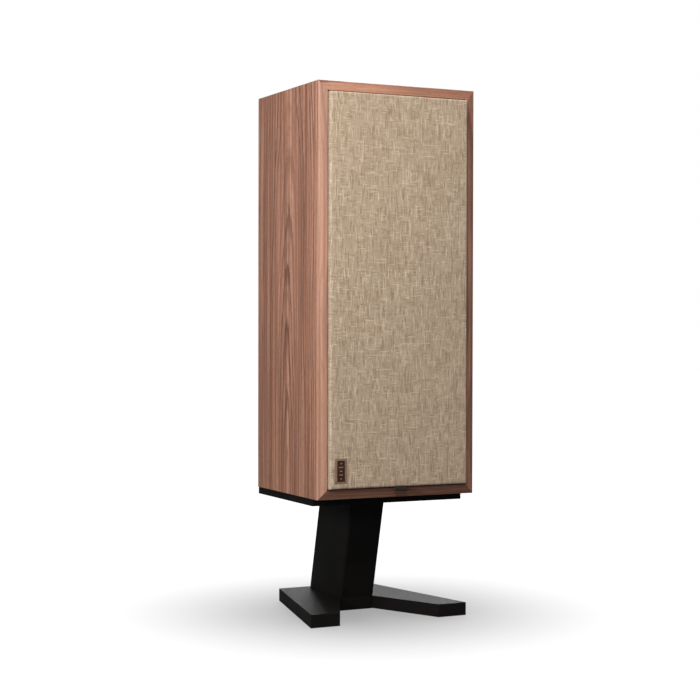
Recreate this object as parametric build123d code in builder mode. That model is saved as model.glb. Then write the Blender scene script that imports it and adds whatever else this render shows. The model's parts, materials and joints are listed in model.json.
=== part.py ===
"""Floorstanding three-way loudspeaker: a walnut cabinet with a pull-off cloth grille,
bolted to a black stand with a forward-leaning column and a forked base.

Millimetres, +Z up, the listener is on the -Y side.  The origin is on the floor, under
the middle of the overall width and of the overall front-to-back length.
"""
from build123d import *
from math import asin, cos, degrees, pi, sin, tan
import os

# ---------------------------------------------------------------- driving dimensions
# Cabinet
CAB_W = 362.0
CAB_H = 850.0
CAB_D = 312.0
WALL = 20.0
FRONT = -168.0          # Y of the cabinet's outer front edge
FRONT_BEVEL = 5.0       # the walls' front faces rise this far towards the grille
BACK_T = 18.0
BACK_RECESS = 6.0
BAFFLE_T = 20.0
BAFFLE_RECESS = 10.0    # from the outer front edge back to the baffle's face
BRACE_T = 18.0
BRACE_Z = 640.0
BRACE_HOLE_R = 45.0

# Stand
STAND_H = 265.0
PAD_R = 15.0
PAD_T = 1.0
BASE_T = 27.5
PLATE_W = 350.0
PLATE_T = 16.0
PLATE_FRONT = -130.0
PLATE_BACK = 156.0
COLUMN_W = 80.0
COLUMN_L = 161.0        # front to back, on the level
COLUMN_FRONT = 19.0     # Y of the column's front face where it stands on the base
COLUMN_LEAN = 56.0      # how far the column leans forward over its height
COLUMN_WALL = 4.0
END_PLATE_T = 12.0
LEG_FRONT = -140.0      # Y of the fork's two end faces
LEG_INNER_X = 116.0
LEG_OUTER_X = 182.0
BASE_BACK = 195.0
BASE_BACK_X = 108.0

# Grille
GRILLE_GAP = 2.0        # shadow gap round the grille
GRILLE_PROUD = 14.0     # from the cabinet's outer front edge to the cloth's face
CLOTH_T = 1.2
GRILLE_SEAT = 0.5       # gap between grille frame and baffle
FRAME_BAR = 20.0
CROSS_BAR = 16.0
CROSS_BAR_Z = (648.0, 834.0)
MAGNET_R = 5.0
MAGNET_T = 4.0
BADGE_SIZE = (27.0, 51.0, 2.0)
BADGE_AT = (-135.0, 324.0)
TAB_W = 28.0
TAB_T = 1.5
TAB_TIP = -195.0

# Drivers: height of each axis, rebate radius and flange thickness
WOOFER_Z = 490.0
WOOFER_FLANGE_R = 130.0
MIDRANGE_Z = 745.0
MIDRANGE_FLANGE_R = 76.0
MIDRANGE_SIZE = 0.54    # midrange motor and cone against the woofer's
TWEETER_Z = 905.0
TWEETER_R = 52.0
TWEETER_T = 4.0
TWEETER_MOTOR_R = 36.0
FLANGE_T = 5.0          # of the woofer; the midrange's is smaller by MIDRANGE_SIZE
BASKET_R = 116.0        # woofer basket behind its flange
REBATE_GAP = 0.5
CHAMBER_R = 82.0
CHAMBER_T = 4.0
CHAMBER_DEPTH = 140.0

# Port, terminals and crossover, on the back panel
PORT_Z = 980.0
PORT_BORE_R = 33.0
PORT_TUBE_R = 37.0
PORT_FLANGE_R = 50.0
PORT_INNER_END = -10.0
TERMINAL_Z = 400.0
POST_X = 19.0           # binding posts stand this far each side of the middle
TERMINAL_PLATE = (110.0, 60.0, 3.0)
STUD_R = 4.0
BANANA_R = 2.05
BANANA_DEPTH = 20.0
THREAD_CLEARANCE = 0.06
BOARD_SIZE = (200.0, 150.0, 3.0)
LEAD_R = 2.0

# Fasteners
SCREW_R = 2.2
SCREW_L = 16.0
SCREW_HEAD_R = 4.0
SCREW_HEAD_T = 2.5
BOLT_R = 4.0
BOLT_L = 30.0
CABINET_BOLT_L = 24.0
HEAD_SINK = 0.5         # how far a recessed bolt head lies below the face
BOLT_HEAD_R = 6.5
BOLT_HEAD_T = 8.0

# ---------------------------------------------------------------- derived positions
HALF_W = CAB_W / 2
INNER_X = HALF_W - WALL
CAB_TOP = STAND_H + CAB_H
INNER_BOTTOM = STAND_H + WALL
INNER_TOP = CAB_TOP - WALL
INNER_H = CAB_H - 2 * WALL
CAB_MID_Z = STAND_H + CAB_H / 2
CAB_BACK = FRONT + CAB_D
BACK_OUT = CAB_BACK - BACK_RECESS
BACK_IN = BACK_OUT - BACK_T
BAFFLE_FRONT = FRONT + BAFFLE_RECESS
BAFFLE_BACK = BAFFLE_FRONT + BAFFLE_T

CLOTH_W = 2 * (INNER_X - GRILLE_GAP)
CLOTH_H = INNER_H - 2 * GRILLE_GAP
CLOTH_FRONT = FRONT - GRILLE_PROUD
FRAME_W = CLOTH_W - 2 * CLOTH_T
FRAME_H = CLOTH_H - 2 * CLOTH_T
FRAME_BACK = BAFFLE_FRONT - GRILLE_SEAT
FRAME_FRONT = CLOTH_FRONT + CLOTH_T

PLATE_BOTTOM = STAND_H - PLATE_T
CABINET_BOLT_REACH = CABINET_BOLT_L - (PLATE_T - BOLT_HEAD_T - HEAD_SINK)
BASE_TOP = PAD_T + BASE_T
COLUMN_H = PLATE_BOTTOM - BASE_TOP
COLUMN_FOOT_Y = COLUMN_FRONT + COLUMN_L / 2
COLUMN_HEAD_Y = COLUMN_FOOT_Y - COLUMN_LEAN

BAFFLE_PLANE = Plane.XZ.offset(-BAFFLE_FRONT)      # looks out of the front
BACK_PLANE = Plane(origin=(0, BACK_OUT, 0), x_dir=(-1, 0, 0), z_dir=(0, 1, 0))


def ring_of_points(radius, count, height, start=0.0):
    """Points on a circle about a driver's axis, as (x, z)."""
    angles = [start + 2 * pi * i / count for i in range(count)]
    return [(radius * cos(a), height + radius * sin(a)) for a in angles]


WOOFER_SCREWS = ring_of_points(WOOFER_FLANGE_R - 5, 8, WOOFER_Z, pi / 8)
MIDRANGE_SCREWS = ring_of_points(MIDRANGE_FLANGE_R - 5.5, 6, MIDRANGE_Z, pi / 6)
TWEETER_SCREWS = ring_of_points(TWEETER_R - 6, 4, TWEETER_Z, pi / 4)
FRONT_SCREWS = WOOFER_SCREWS + MIDRANGE_SCREWS + TWEETER_SCREWS
PLATE_SCREW_X = TERMINAL_PLATE[0] / 2 - 7
PLATE_SCREW_Z = TERMINAL_PLATE[1] / 2 - 7
BACK_SCREWS = [
    (sx * PLATE_SCREW_X, TERMINAL_Z + sz * PLATE_SCREW_Z) for sx in (-1, 1) for sz in (-1, 1)
]
MAGNET_PLACES = [
    (sx * (FRAME_W / 2 - FRAME_BAR / 2), z) for sx in (-1, 1) for z in (340.0, 690.0, 1040.0)
]
PAD_PLACES = [(-141.0, -118.0), (141.0, -118.0), (-85.0, 170.0), (85.0, 170.0)]
COLUMN_BOLT_X = 22.0
COLUMN_BOLT_Y = 50.0
CABINET_BOLT_X = 140.0
CABINET_BOLT_Y = 110.0
PLATE_MID_Y = (PLATE_FRONT + PLATE_BACK) / 2

parts = {}


def keep(name, builder):
    """Label a finished piece and put it on the export list."""
    builder.part.label = name
    parts[name] = builder.part


# ---------------------------------------------------------------- cabinet shell
TOP_LEFT_MITRE = Plane(origin=(-HALF_W, 0, CAB_TOP), z_dir=(1, 0, 1))
TOP_RIGHT_MITRE = Plane(origin=(HALF_W, 0, CAB_TOP), z_dir=(-1, 0, 1))
BOTTOM_LEFT_MITRE = Plane(origin=(-HALF_W, 0, STAND_H), z_dir=(1, 0, -1))
BOTTOM_RIGHT_MITRE = Plane(origin=(HALF_W, 0, STAND_H), z_dir=(-1, 0, -1))

with BuildPart() as cabinet_left_side:
    with BuildSketch(Plane.XY.offset(STAND_H)):
        with BuildLine():
            Polyline(
                (-HALF_W, FRONT),
                (-INNER_X, FRONT - FRONT_BEVEL),
                (-INNER_X, CAB_BACK),
                (-HALF_W, CAB_BACK),
                close=True,
            )
        make_face()
    extrude(amount=CAB_H)
    split(bisect_by=TOP_LEFT_MITRE, keep=Keep.BOTTOM)
    split(bisect_by=BOTTOM_LEFT_MITRE, keep=Keep.BOTTOM)
keep("cabinet_left_side", cabinet_left_side)

with BuildPart() as cabinet_right_side:
    add(mirror(cabinet_left_side.part, about=Plane.YZ))
keep("cabinet_right_side", cabinet_right_side)

with BuildPart() as cabinet_top:
    with BuildSketch(Plane.YZ):
        with BuildLine():
            Polyline(
                (FRONT, CAB_TOP),
                (FRONT - FRONT_BEVEL, INNER_TOP),
                (CAB_BACK, INNER_TOP),
                (CAB_BACK, CAB_TOP),
                close=True,
            )
        make_face()
    extrude(amount=HALF_W, both=True)
    split(bisect_by=TOP_LEFT_MITRE, keep=Keep.TOP)
    split(bisect_by=TOP_RIGHT_MITRE, keep=Keep.TOP)
keep("cabinet_top", cabinet_top)

with BuildPart() as cabinet_bottom:
    with BuildSketch(Plane.YZ):
        with BuildLine():
            Polyline(
                (FRONT, STAND_H),
                (FRONT - FRONT_BEVEL, INNER_BOTTOM),
                (CAB_BACK, INNER_BOTTOM),
                (CAB_BACK, STAND_H),
                close=True,
            )
        make_face()
    extrude(amount=HALF_W, both=True)
    split(bisect_by=BOTTOM_LEFT_MITRE, keep=Keep.TOP)
    split(bisect_by=BOTTOM_RIGHT_MITRE, keep=Keep.TOP)
    with Locations(Plane(origin=(0, PLATE_MID_Y, STAND_H), z_dir=(0, 0, -1))):
        with GridLocations(2 * CABINET_BOLT_X, 2 * CABINET_BOLT_Y, 2, 2):
            Hole(BOLT_R, CABINET_BOLT_REACH + 1)
keep("cabinet_bottom", cabinet_bottom)

with BuildPart(BACK_PLANE) as back_panel:
    with Locations((0, CAB_MID_Z)):
        Box(2 * INNER_X, INNER_H, BACK_T, align=(Align.CENTER, Align.CENTER, Align.MAX))
    with Locations((0, PORT_Z)):
        Hole(PORT_TUBE_R)
    with Locations((0, TERMINAL_Z)):
        Box(80, 36, 2 * BACK_T, mode=Mode.SUBTRACT)
    with Locations(*BACK_SCREWS):
        Hole(SCREW_R, SCREW_L - TERMINAL_PLATE[2])
keep("back_panel", back_panel)

MIDRANGE_CUTOUT = (BASKET_R + 1) * MIDRANGE_SIZE
DRIVER_CUTOUTS = (
    (WOOFER_Z, BASKET_R + 1, WOOFER_FLANGE_R + REBATE_GAP, FLANGE_T),
    (MIDRANGE_Z, MIDRANGE_CUTOUT, MIDRANGE_FLANGE_R + REBATE_GAP, FLANGE_T * MIDRANGE_SIZE),
    (TWEETER_Z, TWEETER_MOTOR_R + 1, TWEETER_R + REBATE_GAP, TWEETER_T),
)

with BuildPart(BAFFLE_PLANE) as front_baffle:
    with Locations((0, CAB_MID_Z)):
        Box(2 * INNER_X, INNER_H, BAFFLE_T, align=(Align.CENTER, Align.CENTER, Align.MAX))
    for height, cutout_r, rebate_r, rebate_t in DRIVER_CUTOUTS:
        with Locations((0, height)):
            CounterBoreHole(cutout_r, rebate_r, rebate_t)
    with Locations(*MAGNET_PLACES):
        Hole(MAGNET_R, MAGNET_T)
    with Locations(*FRONT_SCREWS):
        Hole(SCREW_R, SCREW_L)
keep("front_baffle", front_baffle)

BRACE_MID_Y = (BAFFLE_BACK + BACK_IN) / 2
with BuildPart(Plane.XY.offset(BRACE_Z)) as window_brace:
    with Locations((0, BRACE_MID_Y)):
        Box(2 * INNER_X, BACK_IN - BAFFLE_BACK, BRACE_T)
        with GridLocations(150, 120, 2, 2):
            Hole(BRACE_HOLE_R)
keep("window_brace", window_brace)


# ---------------------------------------------------------------- drivers
def half_section(height):
    """Plane for a driver's turned profile: x is the radius, y points out of the baffle."""
    return Plane(origin=(0, BAFFLE_FRONT, height), x_dir=(1, 0, 0), z_dir=(0, 0, -1))


def turn(height):
    """Revolve the pending profile about the driver's axis."""
    revolve(axis=Axis((0, BAFFLE_FRONT, height), (0, 1, 0)))


def turned_ring(height, outline):
    """Sketch a straight-sided profile and revolve it."""
    with BuildSketch(half_section(height)) as profile:
        with BuildLine():
            Polyline(*outline, close=True)
        make_face()
    revolve(profile.sketch, axis=Axis((0, BAFFLE_FRONT, height), (0, 1, 0)))


def dome(height, radius, rise, base, thickness):
    """Revolve a thin spherical cap whose rim is at base and whose crown is rise further out."""
    outer_r = (radius * radius + rise * rise) / (2 * rise)
    inner_r = outer_r - thickness
    centre = base + rise - outer_r
    sweep_angle = degrees(asin(radius / outer_r))
    rim_x = inner_r * radius / outer_r
    rim_y = centre + (base - centre) * inner_r / outer_r
    with BuildSketch(half_section(height)) as profile:
        with BuildLine():
            CenterArc((0, centre), outer_r, 90 - sweep_angle, sweep_angle)
            Line((radius, base), (rim_x, rim_y))
            CenterArc((0, centre), inner_r, 90 - sweep_angle, sweep_angle)
            Line((0, centre + inner_r), (0, centre + outer_r))
        make_face()
    revolve(profile.sketch, axis=Axis((0, BAFFLE_FRONT, height), (0, 1, 0)))


def cone_driver(name, height, size, flange_r, screws):
    """Basket, motor, cone and suspension of one cone driver, drawn at the woofer's size."""

    def at(radius, forward):
        return (radius * size, forward * size)

    front = Plane(origin=(0, BAFFLE_FRONT, height), x_dir=(1, 0, 0), z_dir=(0, -1, 0))
    with BuildPart() as basket:
        outline = [
            (flange_r, 0),
            (flange_r, -FLANGE_T * size),
            at(BASKET_R, -FLANGE_T),
            at(BASKET_R, -24),
            at(65, -61),
            at(65, -65),
            at(60, -65),
            at(60, -77),
            at(28, -77),
            at(28, -74),
            at(57, -74),
            at(57, -62),
            at(62, -62),
            at(62, -58.6),
            at(112.5, -22),
            at(112.5, -3),
            at(120, -3),
            at(120, 0),
        ]
        turned_ring(height, outline)
        with Locations(front.offset(-41 * size)):
            with PolarLocations(92 * size, 6):
                Box(62 * size, 62 * size, 30 * size, mode=Mode.SUBTRACT)
        with Locations(BAFFLE_PLANE):
            with Locations(*screws):
                Hole(SCREW_R, 2 * FLANGE_T)
    keep(name + "_basket", basket)

    with BuildPart() as top_plate:
        turned_ring(height, [at(26.8, -77), at(60, -77), at(60, -85), at(26.8, -85)])
    keep(name + "_top_plate", top_plate)

    with BuildPart() as magnet:
        turned_ring(height, [at(33, -85), at(72, -85), at(72, -105), at(33, -105)])
        chamfer(magnet.edges().filter_by(GeomType.CIRCLE).group_by(SortBy.LENGTH)[-1], 1.5 * size)
    keep(name + "_magnet", magnet)

    with BuildPart() as yoke:
        outline = [
            at(8, -77),
            at(24, -77),
            at(24, -105),
            at(60, -105),
            at(60, -113),
            at(8, -113),
        ]
        turned_ring(height, outline)
    keep(name + "_yoke", yoke)

    with BuildPart() as voice_coil:
        outline = [
            at(24.6, -50),
            at(25.4, -50),
            at(25.4, -72),
            at(26.2, -72),
            at(26.2, -94),
            at(25.4, -94),
            at(25.4, -96),
            at(24.6, -96),
        ]
        turned_ring(height, outline)
    keep(name + "_voice_coil", voice_coil)

    crests = [(29, -61.2), (33, -59.5), (38, -63), (43, -59.5), (48, -63), (53, -60.5), (57, -61.2)]
    with BuildPart() as spider:
        upper = [(25.4, -61.2)] + crests + [(62, -61.2)]
        lower = [(radius, forward - 0.8) for radius, forward in reversed(upper)]
        turned_ring(height, [at(radius, forward) for radius, forward in upper + lower])
    keep(name + "_spider", spider)

    with BuildPart() as cone:
        with BuildSketch(half_section(height)):
            with BuildLine():
                ThreePointArc(at(25.4, -50), at(57, -24), at(94, -3))
                Polyline(at(94, -3), at(98.8, -3), at(98.8, -4), at(94.3, -4))
                ThreePointArc(at(94.3, -4), at(57.6, -25), at(25.4, -51.6))
                Line(at(25.4, -51.6), at(25.4, -50))
            make_face()
        turn(height)
    keep(name + "_cone", cone)

    with BuildPart() as dust_cap:
        dome(height, 38 * size, 12.6 * size, -37.6 * size, 1.0 * size)
    keep(name + "_dust_cap", dust_cap)

    with BuildPart() as surround:
        with BuildSketch(half_section(height)):
            with BuildLine():
                Polyline(at(98.54, -2.2), at(95.5, -2.2), at(95.5, -3), at(99.3, -3))
                ThreePointArc(at(99.3, -3), at(106.5, 4.2), at(113.7, -3))
                Polyline(at(113.7, -3), at(119.5, -3), at(119.5, -2.2), at(114.46, -2.2))
                ThreePointArc(at(114.46, -2.2), at(106.5, 5), at(98.54, -2.2))
            make_face()
        turn(height)
    keep(name + "_surround", surround)


cone_driver("woofer", WOOFER_Z, 1.0, WOOFER_FLANGE_R, WOOFER_SCREWS)
cone_driver("midrange", MIDRANGE_Z, MIDRANGE_SIZE, MIDRANGE_FLANGE_R, MIDRANGE_SCREWS)

MIDRANGE_LEAD_X = 30.0      # where the midrange lead enters its chamber
CHAMBER_BACK = BAFFLE_FRONT + CHAMBER_DEPTH
with BuildPart() as midrange_chamber:
    outline = [
        (CHAMBER_R - CHAMBER_T, -BAFFLE_T),
        (CHAMBER_R, -BAFFLE_T),
        (CHAMBER_R, -CHAMBER_DEPTH),
        (0, -CHAMBER_DEPTH),
        (0, CHAMBER_T - CHAMBER_DEPTH),
        (CHAMBER_R - CHAMBER_T, CHAMBER_T - CHAMBER_DEPTH),
    ]
    turned_ring(MIDRANGE_Z, outline)
    with Locations(Plane(origin=(MIDRANGE_LEAD_X, CHAMBER_BACK, MIDRANGE_Z), z_dir=(0, 1, 0))):
        Hole(LEAD_R, 2 * CHAMBER_T)
keep("midrange_chamber", midrange_chamber)

with BuildPart() as tweeter_faceplate:
    outline = [
        (17, -TWEETER_T),
        (TWEETER_R, -TWEETER_T),
        (TWEETER_R, 0),
        (27, 0),
        (17, -2.5),
    ]
    turned_ring(TWEETER_Z, outline)
    with Locations(BAFFLE_PLANE):
        with Locations(*TWEETER_SCREWS):
            Hole(SCREW_R, 2 * TWEETER_T)
keep("tweeter_faceplate", tweeter_faceplate)

with BuildPart() as tweeter_top_plate:
    turned_ring(TWEETER_Z, [(13.6, -4), (36, -4), (36, -9), (13.6, -9)])
keep("tweeter_top_plate", tweeter_top_plate)

with BuildPart() as tweeter_magnet:
    turned_ring(TWEETER_Z, [(18, -9), (36, -9), (36, -21), (18, -21)])
keep("tweeter_magnet", tweeter_magnet)

with BuildPart() as tweeter_yoke:
    outline = [(0, -4.6), (11.9, -4.6), (11.9, -21), (36, -21), (36, -26), (0, -26)]
    turned_ring(TWEETER_Z, outline)
keep("tweeter_yoke", tweeter_yoke)

DOME_R = 13.0
DOME_BASE = -2.6
FORMER_T = 0.5
with BuildPart() as tweeter_dome:
    dome(TWEETER_Z, DOME_R, 4.6, DOME_BASE, 0.4)
    outline = [
        (DOME_R - FORMER_T, DOME_BASE - 5.4),
        (DOME_R, DOME_BASE - 5.4),
        (DOME_R, DOME_BASE),
        (DOME_R - FORMER_T, DOME_BASE),
    ]
    turned_ring(TWEETER_Z, outline)
keep("tweeter_dome", tweeter_dome)

with BuildPart() as tweeter_surround:
    with BuildSketch(half_section(TWEETER_Z)):
        with BuildLine():
            ThreePointArc((13, -3.3), (14.9, -1.4), (16.8, -3.3))
            Polyline((16.8, -3.3), (16.8, -4), (16.3, -4), (16.3, -3.3))
            ThreePointArc((16.3, -3.3), (14.9, -1.9), (13.5, -3.3))
            Line((13.5, -3.3), (13, -3.3))
        make_face()
    turn(TWEETER_Z)
keep("tweeter_surround", tweeter_surround)

# ---------------------------------------------------------------- port and terminals
with BuildPart() as port_tube:
    with BuildSketch(Plane.XY.offset(PORT_Z)):
        with BuildLine():
            Polyline(
                (PORT_BORE_R, BACK_OUT - 8),
                (PORT_BORE_R, PORT_INNER_END),
                (PORT_TUBE_R, PORT_INNER_END),
                (PORT_TUBE_R, BACK_OUT),
                (PORT_FLANGE_R, BACK_OUT),
                (PORT_FLANGE_R, BACK_OUT + 3),
                (PORT_BORE_R + 8, BACK_OUT + 3),
            )
            ThreePointArc(
                (PORT_BORE_R + 8, BACK_OUT + 3),
                (PORT_BORE_R + 2.3, BACK_OUT + 0.6),
                (PORT_BORE_R, BACK_OUT - 8),
            )
        make_face()
    revolve(axis=Axis((0, 0, PORT_Z), (0, 1, 0)))
keep("port_tube", port_tube)

PLATE_OUT = BACK_OUT + TERMINAL_PLATE[2]
COLLAR_T = 6.0
WASHER_T = 2.2
CAP_R = 8.5
CAP_L = 16.0
STUD_END = PLATE_OUT + 26.0
WASHER_Y = PLATE_OUT + COLLAR_T + 0.2
CAP_Y = WASHER_Y + WASHER_T + 0.2
TERMINAL_FACE = Plane(origin=(0, PLATE_OUT, 0), x_dir=(-1, 0, 0), z_dir=(0, 1, 0))
POST_PLACES = [(-POST_X, TERMINAL_Z), (POST_X, TERMINAL_Z)]

with BuildPart(TERMINAL_FACE) as terminal_plate:
    with Locations((0, TERMINAL_Z)):
        Box(*TERMINAL_PLATE, align=(Align.CENTER, Align.CENTER, Align.MAX))
    fillet(terminal_plate.edges().filter_by(Axis.Y), 5)
    with Locations(*POST_PLACES):
        Hole(STUD_R, 2 * TERMINAL_PLATE[2])
    with Locations(*BACK_SCREWS):
        Hole(SCREW_R, 2 * TERMINAL_PLATE[2])
keep("terminal_plate", terminal_plate)

BOARD_IN = BACK_IN - BOARD_SIZE[2]
NUT_T = 5.0
with BuildPart() as terminal_studs:
    for x, z in POST_PLACES:
        with BuildSketch(Plane(origin=(x, BOARD_IN - 12, z), z_dir=(0, 1, 0))):
            Circle(STUD_R)
        extrude(amount=STUD_END - BOARD_IN + 12)
        with BuildSketch(Plane(origin=(x, PLATE_OUT, z), z_dir=(0, 1, 0))):
            Circle(CAP_R)
        extrude(amount=COLLAR_T)
        with BuildSketch(Plane(origin=(x, BOARD_IN - NUT_T, z), z_dir=(0, 1, 0))):
            RegularPolygon(7.5, 6)
        extrude(amount=NUT_T)
        with Locations(Plane(origin=(x, STUD_END, z), z_dir=(0, 1, 0))):
            Hole(BANANA_R, BANANA_DEPTH)
keep("terminal_studs", terminal_studs)


def threaded_sleeve(x, y, radius, length):
    """A ring that runs on one binding post's stud."""
    with BuildSketch(Plane(origin=(x, y, TERMINAL_Z), z_dir=(0, 1, 0))) as ring:
        Circle(radius)
        Circle(STUD_R + THREAD_CLEARANCE, mode=Mode.SUBTRACT)
    extrude(ring.sketch, amount=length)


for colour, x in (("black", POST_X), ("red", -POST_X)):
    with BuildPart() as terminal_washer:
        threaded_sleeve(x, WASHER_Y, CAP_R - 0.5, WASHER_T)
    keep("terminal_washer_" + colour, terminal_washer)

    with BuildPart() as terminal_cap:
        threaded_sleeve(x, CAP_Y, CAP_R, CAP_L)
        with Locations(Plane(origin=(x, CAP_Y + 7, TERMINAL_Z), z_dir=(0, 1, 0))):
            with PolarLocations(CAP_R + 0.3, 20):
                Cylinder(0.8, 11, mode=Mode.SUBTRACT)
        chamfer(terminal_cap.faces().sort_by(Axis.Y)[-1].outer_wire().edges(), 1)
    keep("terminal_cap_" + colour, terminal_cap)

# ---------------------------------------------------------------- crossover
BOARD_FACE = Plane(origin=(0, BOARD_IN, TERMINAL_Z), x_dir=(1, 0, 0), z_dir=(0, -1, 0))

with BuildPart(BOARD_FACE) as crossover_board:
    Box(*BOARD_SIZE, align=(Align.CENTER, Align.CENTER, Align.MAX))
    with Locations((-POST_X, 0), (POST_X, 0)):
        Hole(STUD_R)
keep("crossover_board", crossover_board)

with BuildPart(BOARD_FACE) as crossover_inductors:
    with BuildSketch(BOARD_FACE):
        with Locations((-68, 40), (-68, -35), (60, -45)):
            Circle(27)
            Circle(12, mode=Mode.SUBTRACT)
    extrude(amount=22)
    fillet(crossover_inductors.edges().filter_by(GeomType.CIRCLE), 1.5)
keep("crossover_inductors", crossover_inductors)

CAPACITOR_R = 11.0
with BuildPart(BOARD_FACE.offset(CAPACITOR_R)) as crossover_capacitors:
    with Locations((-25, 46), (5, 46), (35, 46), (65, 46)):
        Cylinder(CAPACITOR_R, 46, rotation=(90, 0, 0))
    fillet(crossover_capacitors.edges().filter_by(GeomType.CIRCLE), 1.5)
keep("crossover_capacitors", crossover_capacitors)

with BuildPart(BOARD_FACE) as crossover_resistors:
    with Locations((-4, -65), (-4, -50), (-4, -35)):
        Box(44, 8, 8, align=(Align.CENTER, Align.CENTER, Align.MIN))
    fillet(crossover_resistors.edges().filter_by(Axis.Y), 1)
keep("crossover_resistors", crossover_resistors)


def corner_radii(points):
    """The largest even arcs for a route: 0.45 of the shorter run over tan(half the turn)."""
    radii = []
    for before, here, after in zip(points, points[1:], points[2:]):
        run_in = Vector(*here) - Vector(*before)
        run_out = Vector(*after) - Vector(*here)
        half_turn = run_in.get_angle(run_out) * pi / 360
        radii.append(0.45 * min(run_in.length, run_out.length) / tan(half_turn))
    return radii


LEAD_ROUTES = {
    "woofer_leads": [
        (60, BOARD_IN, 400),
        (60, 72, 400),
        (75, 20, 425),
        (96, -35, 465),
        (98, -87, 490),
        (60, -87, 490),
    ],
    "midrange_leads": [
        (75, BOARD_IN, 400),
        (75, 82, 400),
        (78, 55, 450),
        (75, 51, 540),
        (76, 52, 640),
        (60, 42, 715),
        (MIDRANGE_LEAD_X, 15, MIDRANGE_Z),
        (MIDRANGE_LEAD_X, BAFFLE_FRONT + 113 * MIDRANGE_SIZE, MIDRANGE_Z),
    ],
    "tweeter_leads": [
        (90, BOARD_IN, 400),
        (90, 85, 400),
        (93, 62, 455),
        (88, 56, 550),
        (91, 52, 650),
        (95, 40, 760),
        (85, 0, 850),
        (50, -60, 895),
        (25, -100, TWEETER_Z),
        (25, BAFFLE_FRONT + 26, TWEETER_Z),
    ],
}

for lead_name, route in LEAD_ROUTES.items():
    radii = corner_radii(route)
    print(lead_name, "bend radii", [round(radius, 1) for radius in radii])
    with BuildPart() as leads:
        with BuildLine() as path:
            FilletPolyline(*route, radius=radii)
        with BuildSketch(Plane(origin=path.line @ 0, z_dir=path.line % 0)):
            Circle(LEAD_R)
        sweep()
    keep(lead_name, leads)

# ---------------------------------------------------------------- screws
with BuildPart() as wood_screws:
    with Locations(BAFFLE_PLANE):
        with Locations(*FRONT_SCREWS):
            Cylinder(SCREW_R, SCREW_L, align=(Align.CENTER, Align.CENTER, Align.MAX))
            Cylinder(SCREW_HEAD_R, SCREW_HEAD_T, align=(Align.CENTER, Align.CENTER, Align.MIN))
    with Locations(TERMINAL_FACE):
        with Locations(*BACK_SCREWS):
            Cylinder(SCREW_R, SCREW_L, align=(Align.CENTER, Align.CENTER, Align.MAX))
            Cylinder(SCREW_HEAD_R, SCREW_HEAD_T, align=(Align.CENTER, Align.CENTER, Align.MIN))
    head_rims = wood_screws.edges().filter_by(GeomType.CIRCLE).group_by(SortBy.LENGTH)[-1]
    outer_rims = head_rims.filter_by_position(Axis.Y, BAFFLE_FRONT - 9, BAFFLE_FRONT - 0.1)
    chamfer(outer_rims, 0.8)
    with Locations(BAFFLE_PLANE.offset(SCREW_HEAD_T)):
        with Locations(*FRONT_SCREWS):
            Box(1.0, 4.6, 2.4, mode=Mode.SUBTRACT)
            Box(4.6, 1.0, 2.4, mode=Mode.SUBTRACT)
    with Locations(TERMINAL_FACE.offset(SCREW_HEAD_T)):
        with Locations(*BACK_SCREWS):
            Box(1.0, 4.6, 2.4, mode=Mode.SUBTRACT)
            Box(4.6, 1.0, 2.4, mode=Mode.SUBTRACT)
keep("wood_screws", wood_screws)

# ---------------------------------------------------------------- grille
FRAME_PLANE = Plane.XZ.offset(-FRAME_BACK)
FRAME_DEPTH = FRAME_BACK - FRAME_FRONT
FRAME_ROUND = 3.0


def front_rim(builder):
    """Outer edges of the face nearest the listener."""
    return builder.faces().sort_by(Axis.Y)[0].outer_wire().edges()


with BuildPart() as grille_envelope:
    with BuildSketch(FRAME_PLANE):
        with Locations((0, CAB_MID_Z)):
            Rectangle(FRAME_W, FRAME_H)
    extrude(amount=FRAME_DEPTH)
    fillet(front_rim(grille_envelope), FRAME_ROUND)

FRAME_LOW = CAB_MID_Z - FRAME_H / 2 + FRAME_BAR
FRAME_HIGH = CAB_MID_Z + FRAME_H / 2 - FRAME_BAR
WINDOW_EDGES = [FRAME_LOW]
for bar_z in CROSS_BAR_Z:
    WINDOW_EDGES += [bar_z - CROSS_BAR / 2, bar_z + CROSS_BAR / 2]
WINDOW_EDGES.append(FRAME_HIGH)

with BuildPart() as grille_frame:
    add(grille_envelope.part)
    with BuildSketch(FRAME_PLANE):
        for low, high in zip(WINDOW_EDGES[::2], WINDOW_EDGES[1::2]):
            with Locations((0, (low + high) / 2)):
                Rectangle(FRAME_W - 2 * FRAME_BAR, high - low)
    extrude(amount=FRAME_DEPTH, mode=Mode.SUBTRACT)
    with Locations(Plane(origin=(0, FRAME_BACK, 0), x_dir=(-1, 0, 0), z_dir=(0, 1, 0))):
        with Locations(*MAGNET_PLACES):
            Hole(MAGNET_R, MAGNET_T)
keep("grille_frame", grille_frame)

with BuildPart() as grille_cloth:
    with BuildSketch(FRAME_PLANE.offset(1.5)):
        with Locations((0, CAB_MID_Z)):
            Rectangle(CLOTH_W, CLOTH_H)
    extrude(amount=FRAME_DEPTH - 1.5 + CLOTH_T)
    fillet(front_rim(grille_cloth), FRAME_ROUND + CLOTH_T)
    add(grille_envelope.part, mode=Mode.SUBTRACT)
keep("grille_cloth", grille_cloth)

with BuildPart() as grille_magnets:
    with Locations(FRAME_PLANE):
        with Locations(*MAGNET_PLACES):
            Cylinder(MAGNET_R, MAGNET_T, align=(Align.CENTER, Align.CENTER, Align.MIN))
keep("grille_magnets", grille_magnets)

with BuildPart() as baffle_magnets:
    with Locations(BAFFLE_PLANE):
        with Locations(*MAGNET_PLACES):
            Cylinder(MAGNET_R, MAGNET_T, align=(Align.CENTER, Align.CENTER, Align.MAX))
keep("baffle_magnets", baffle_magnets)

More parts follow.
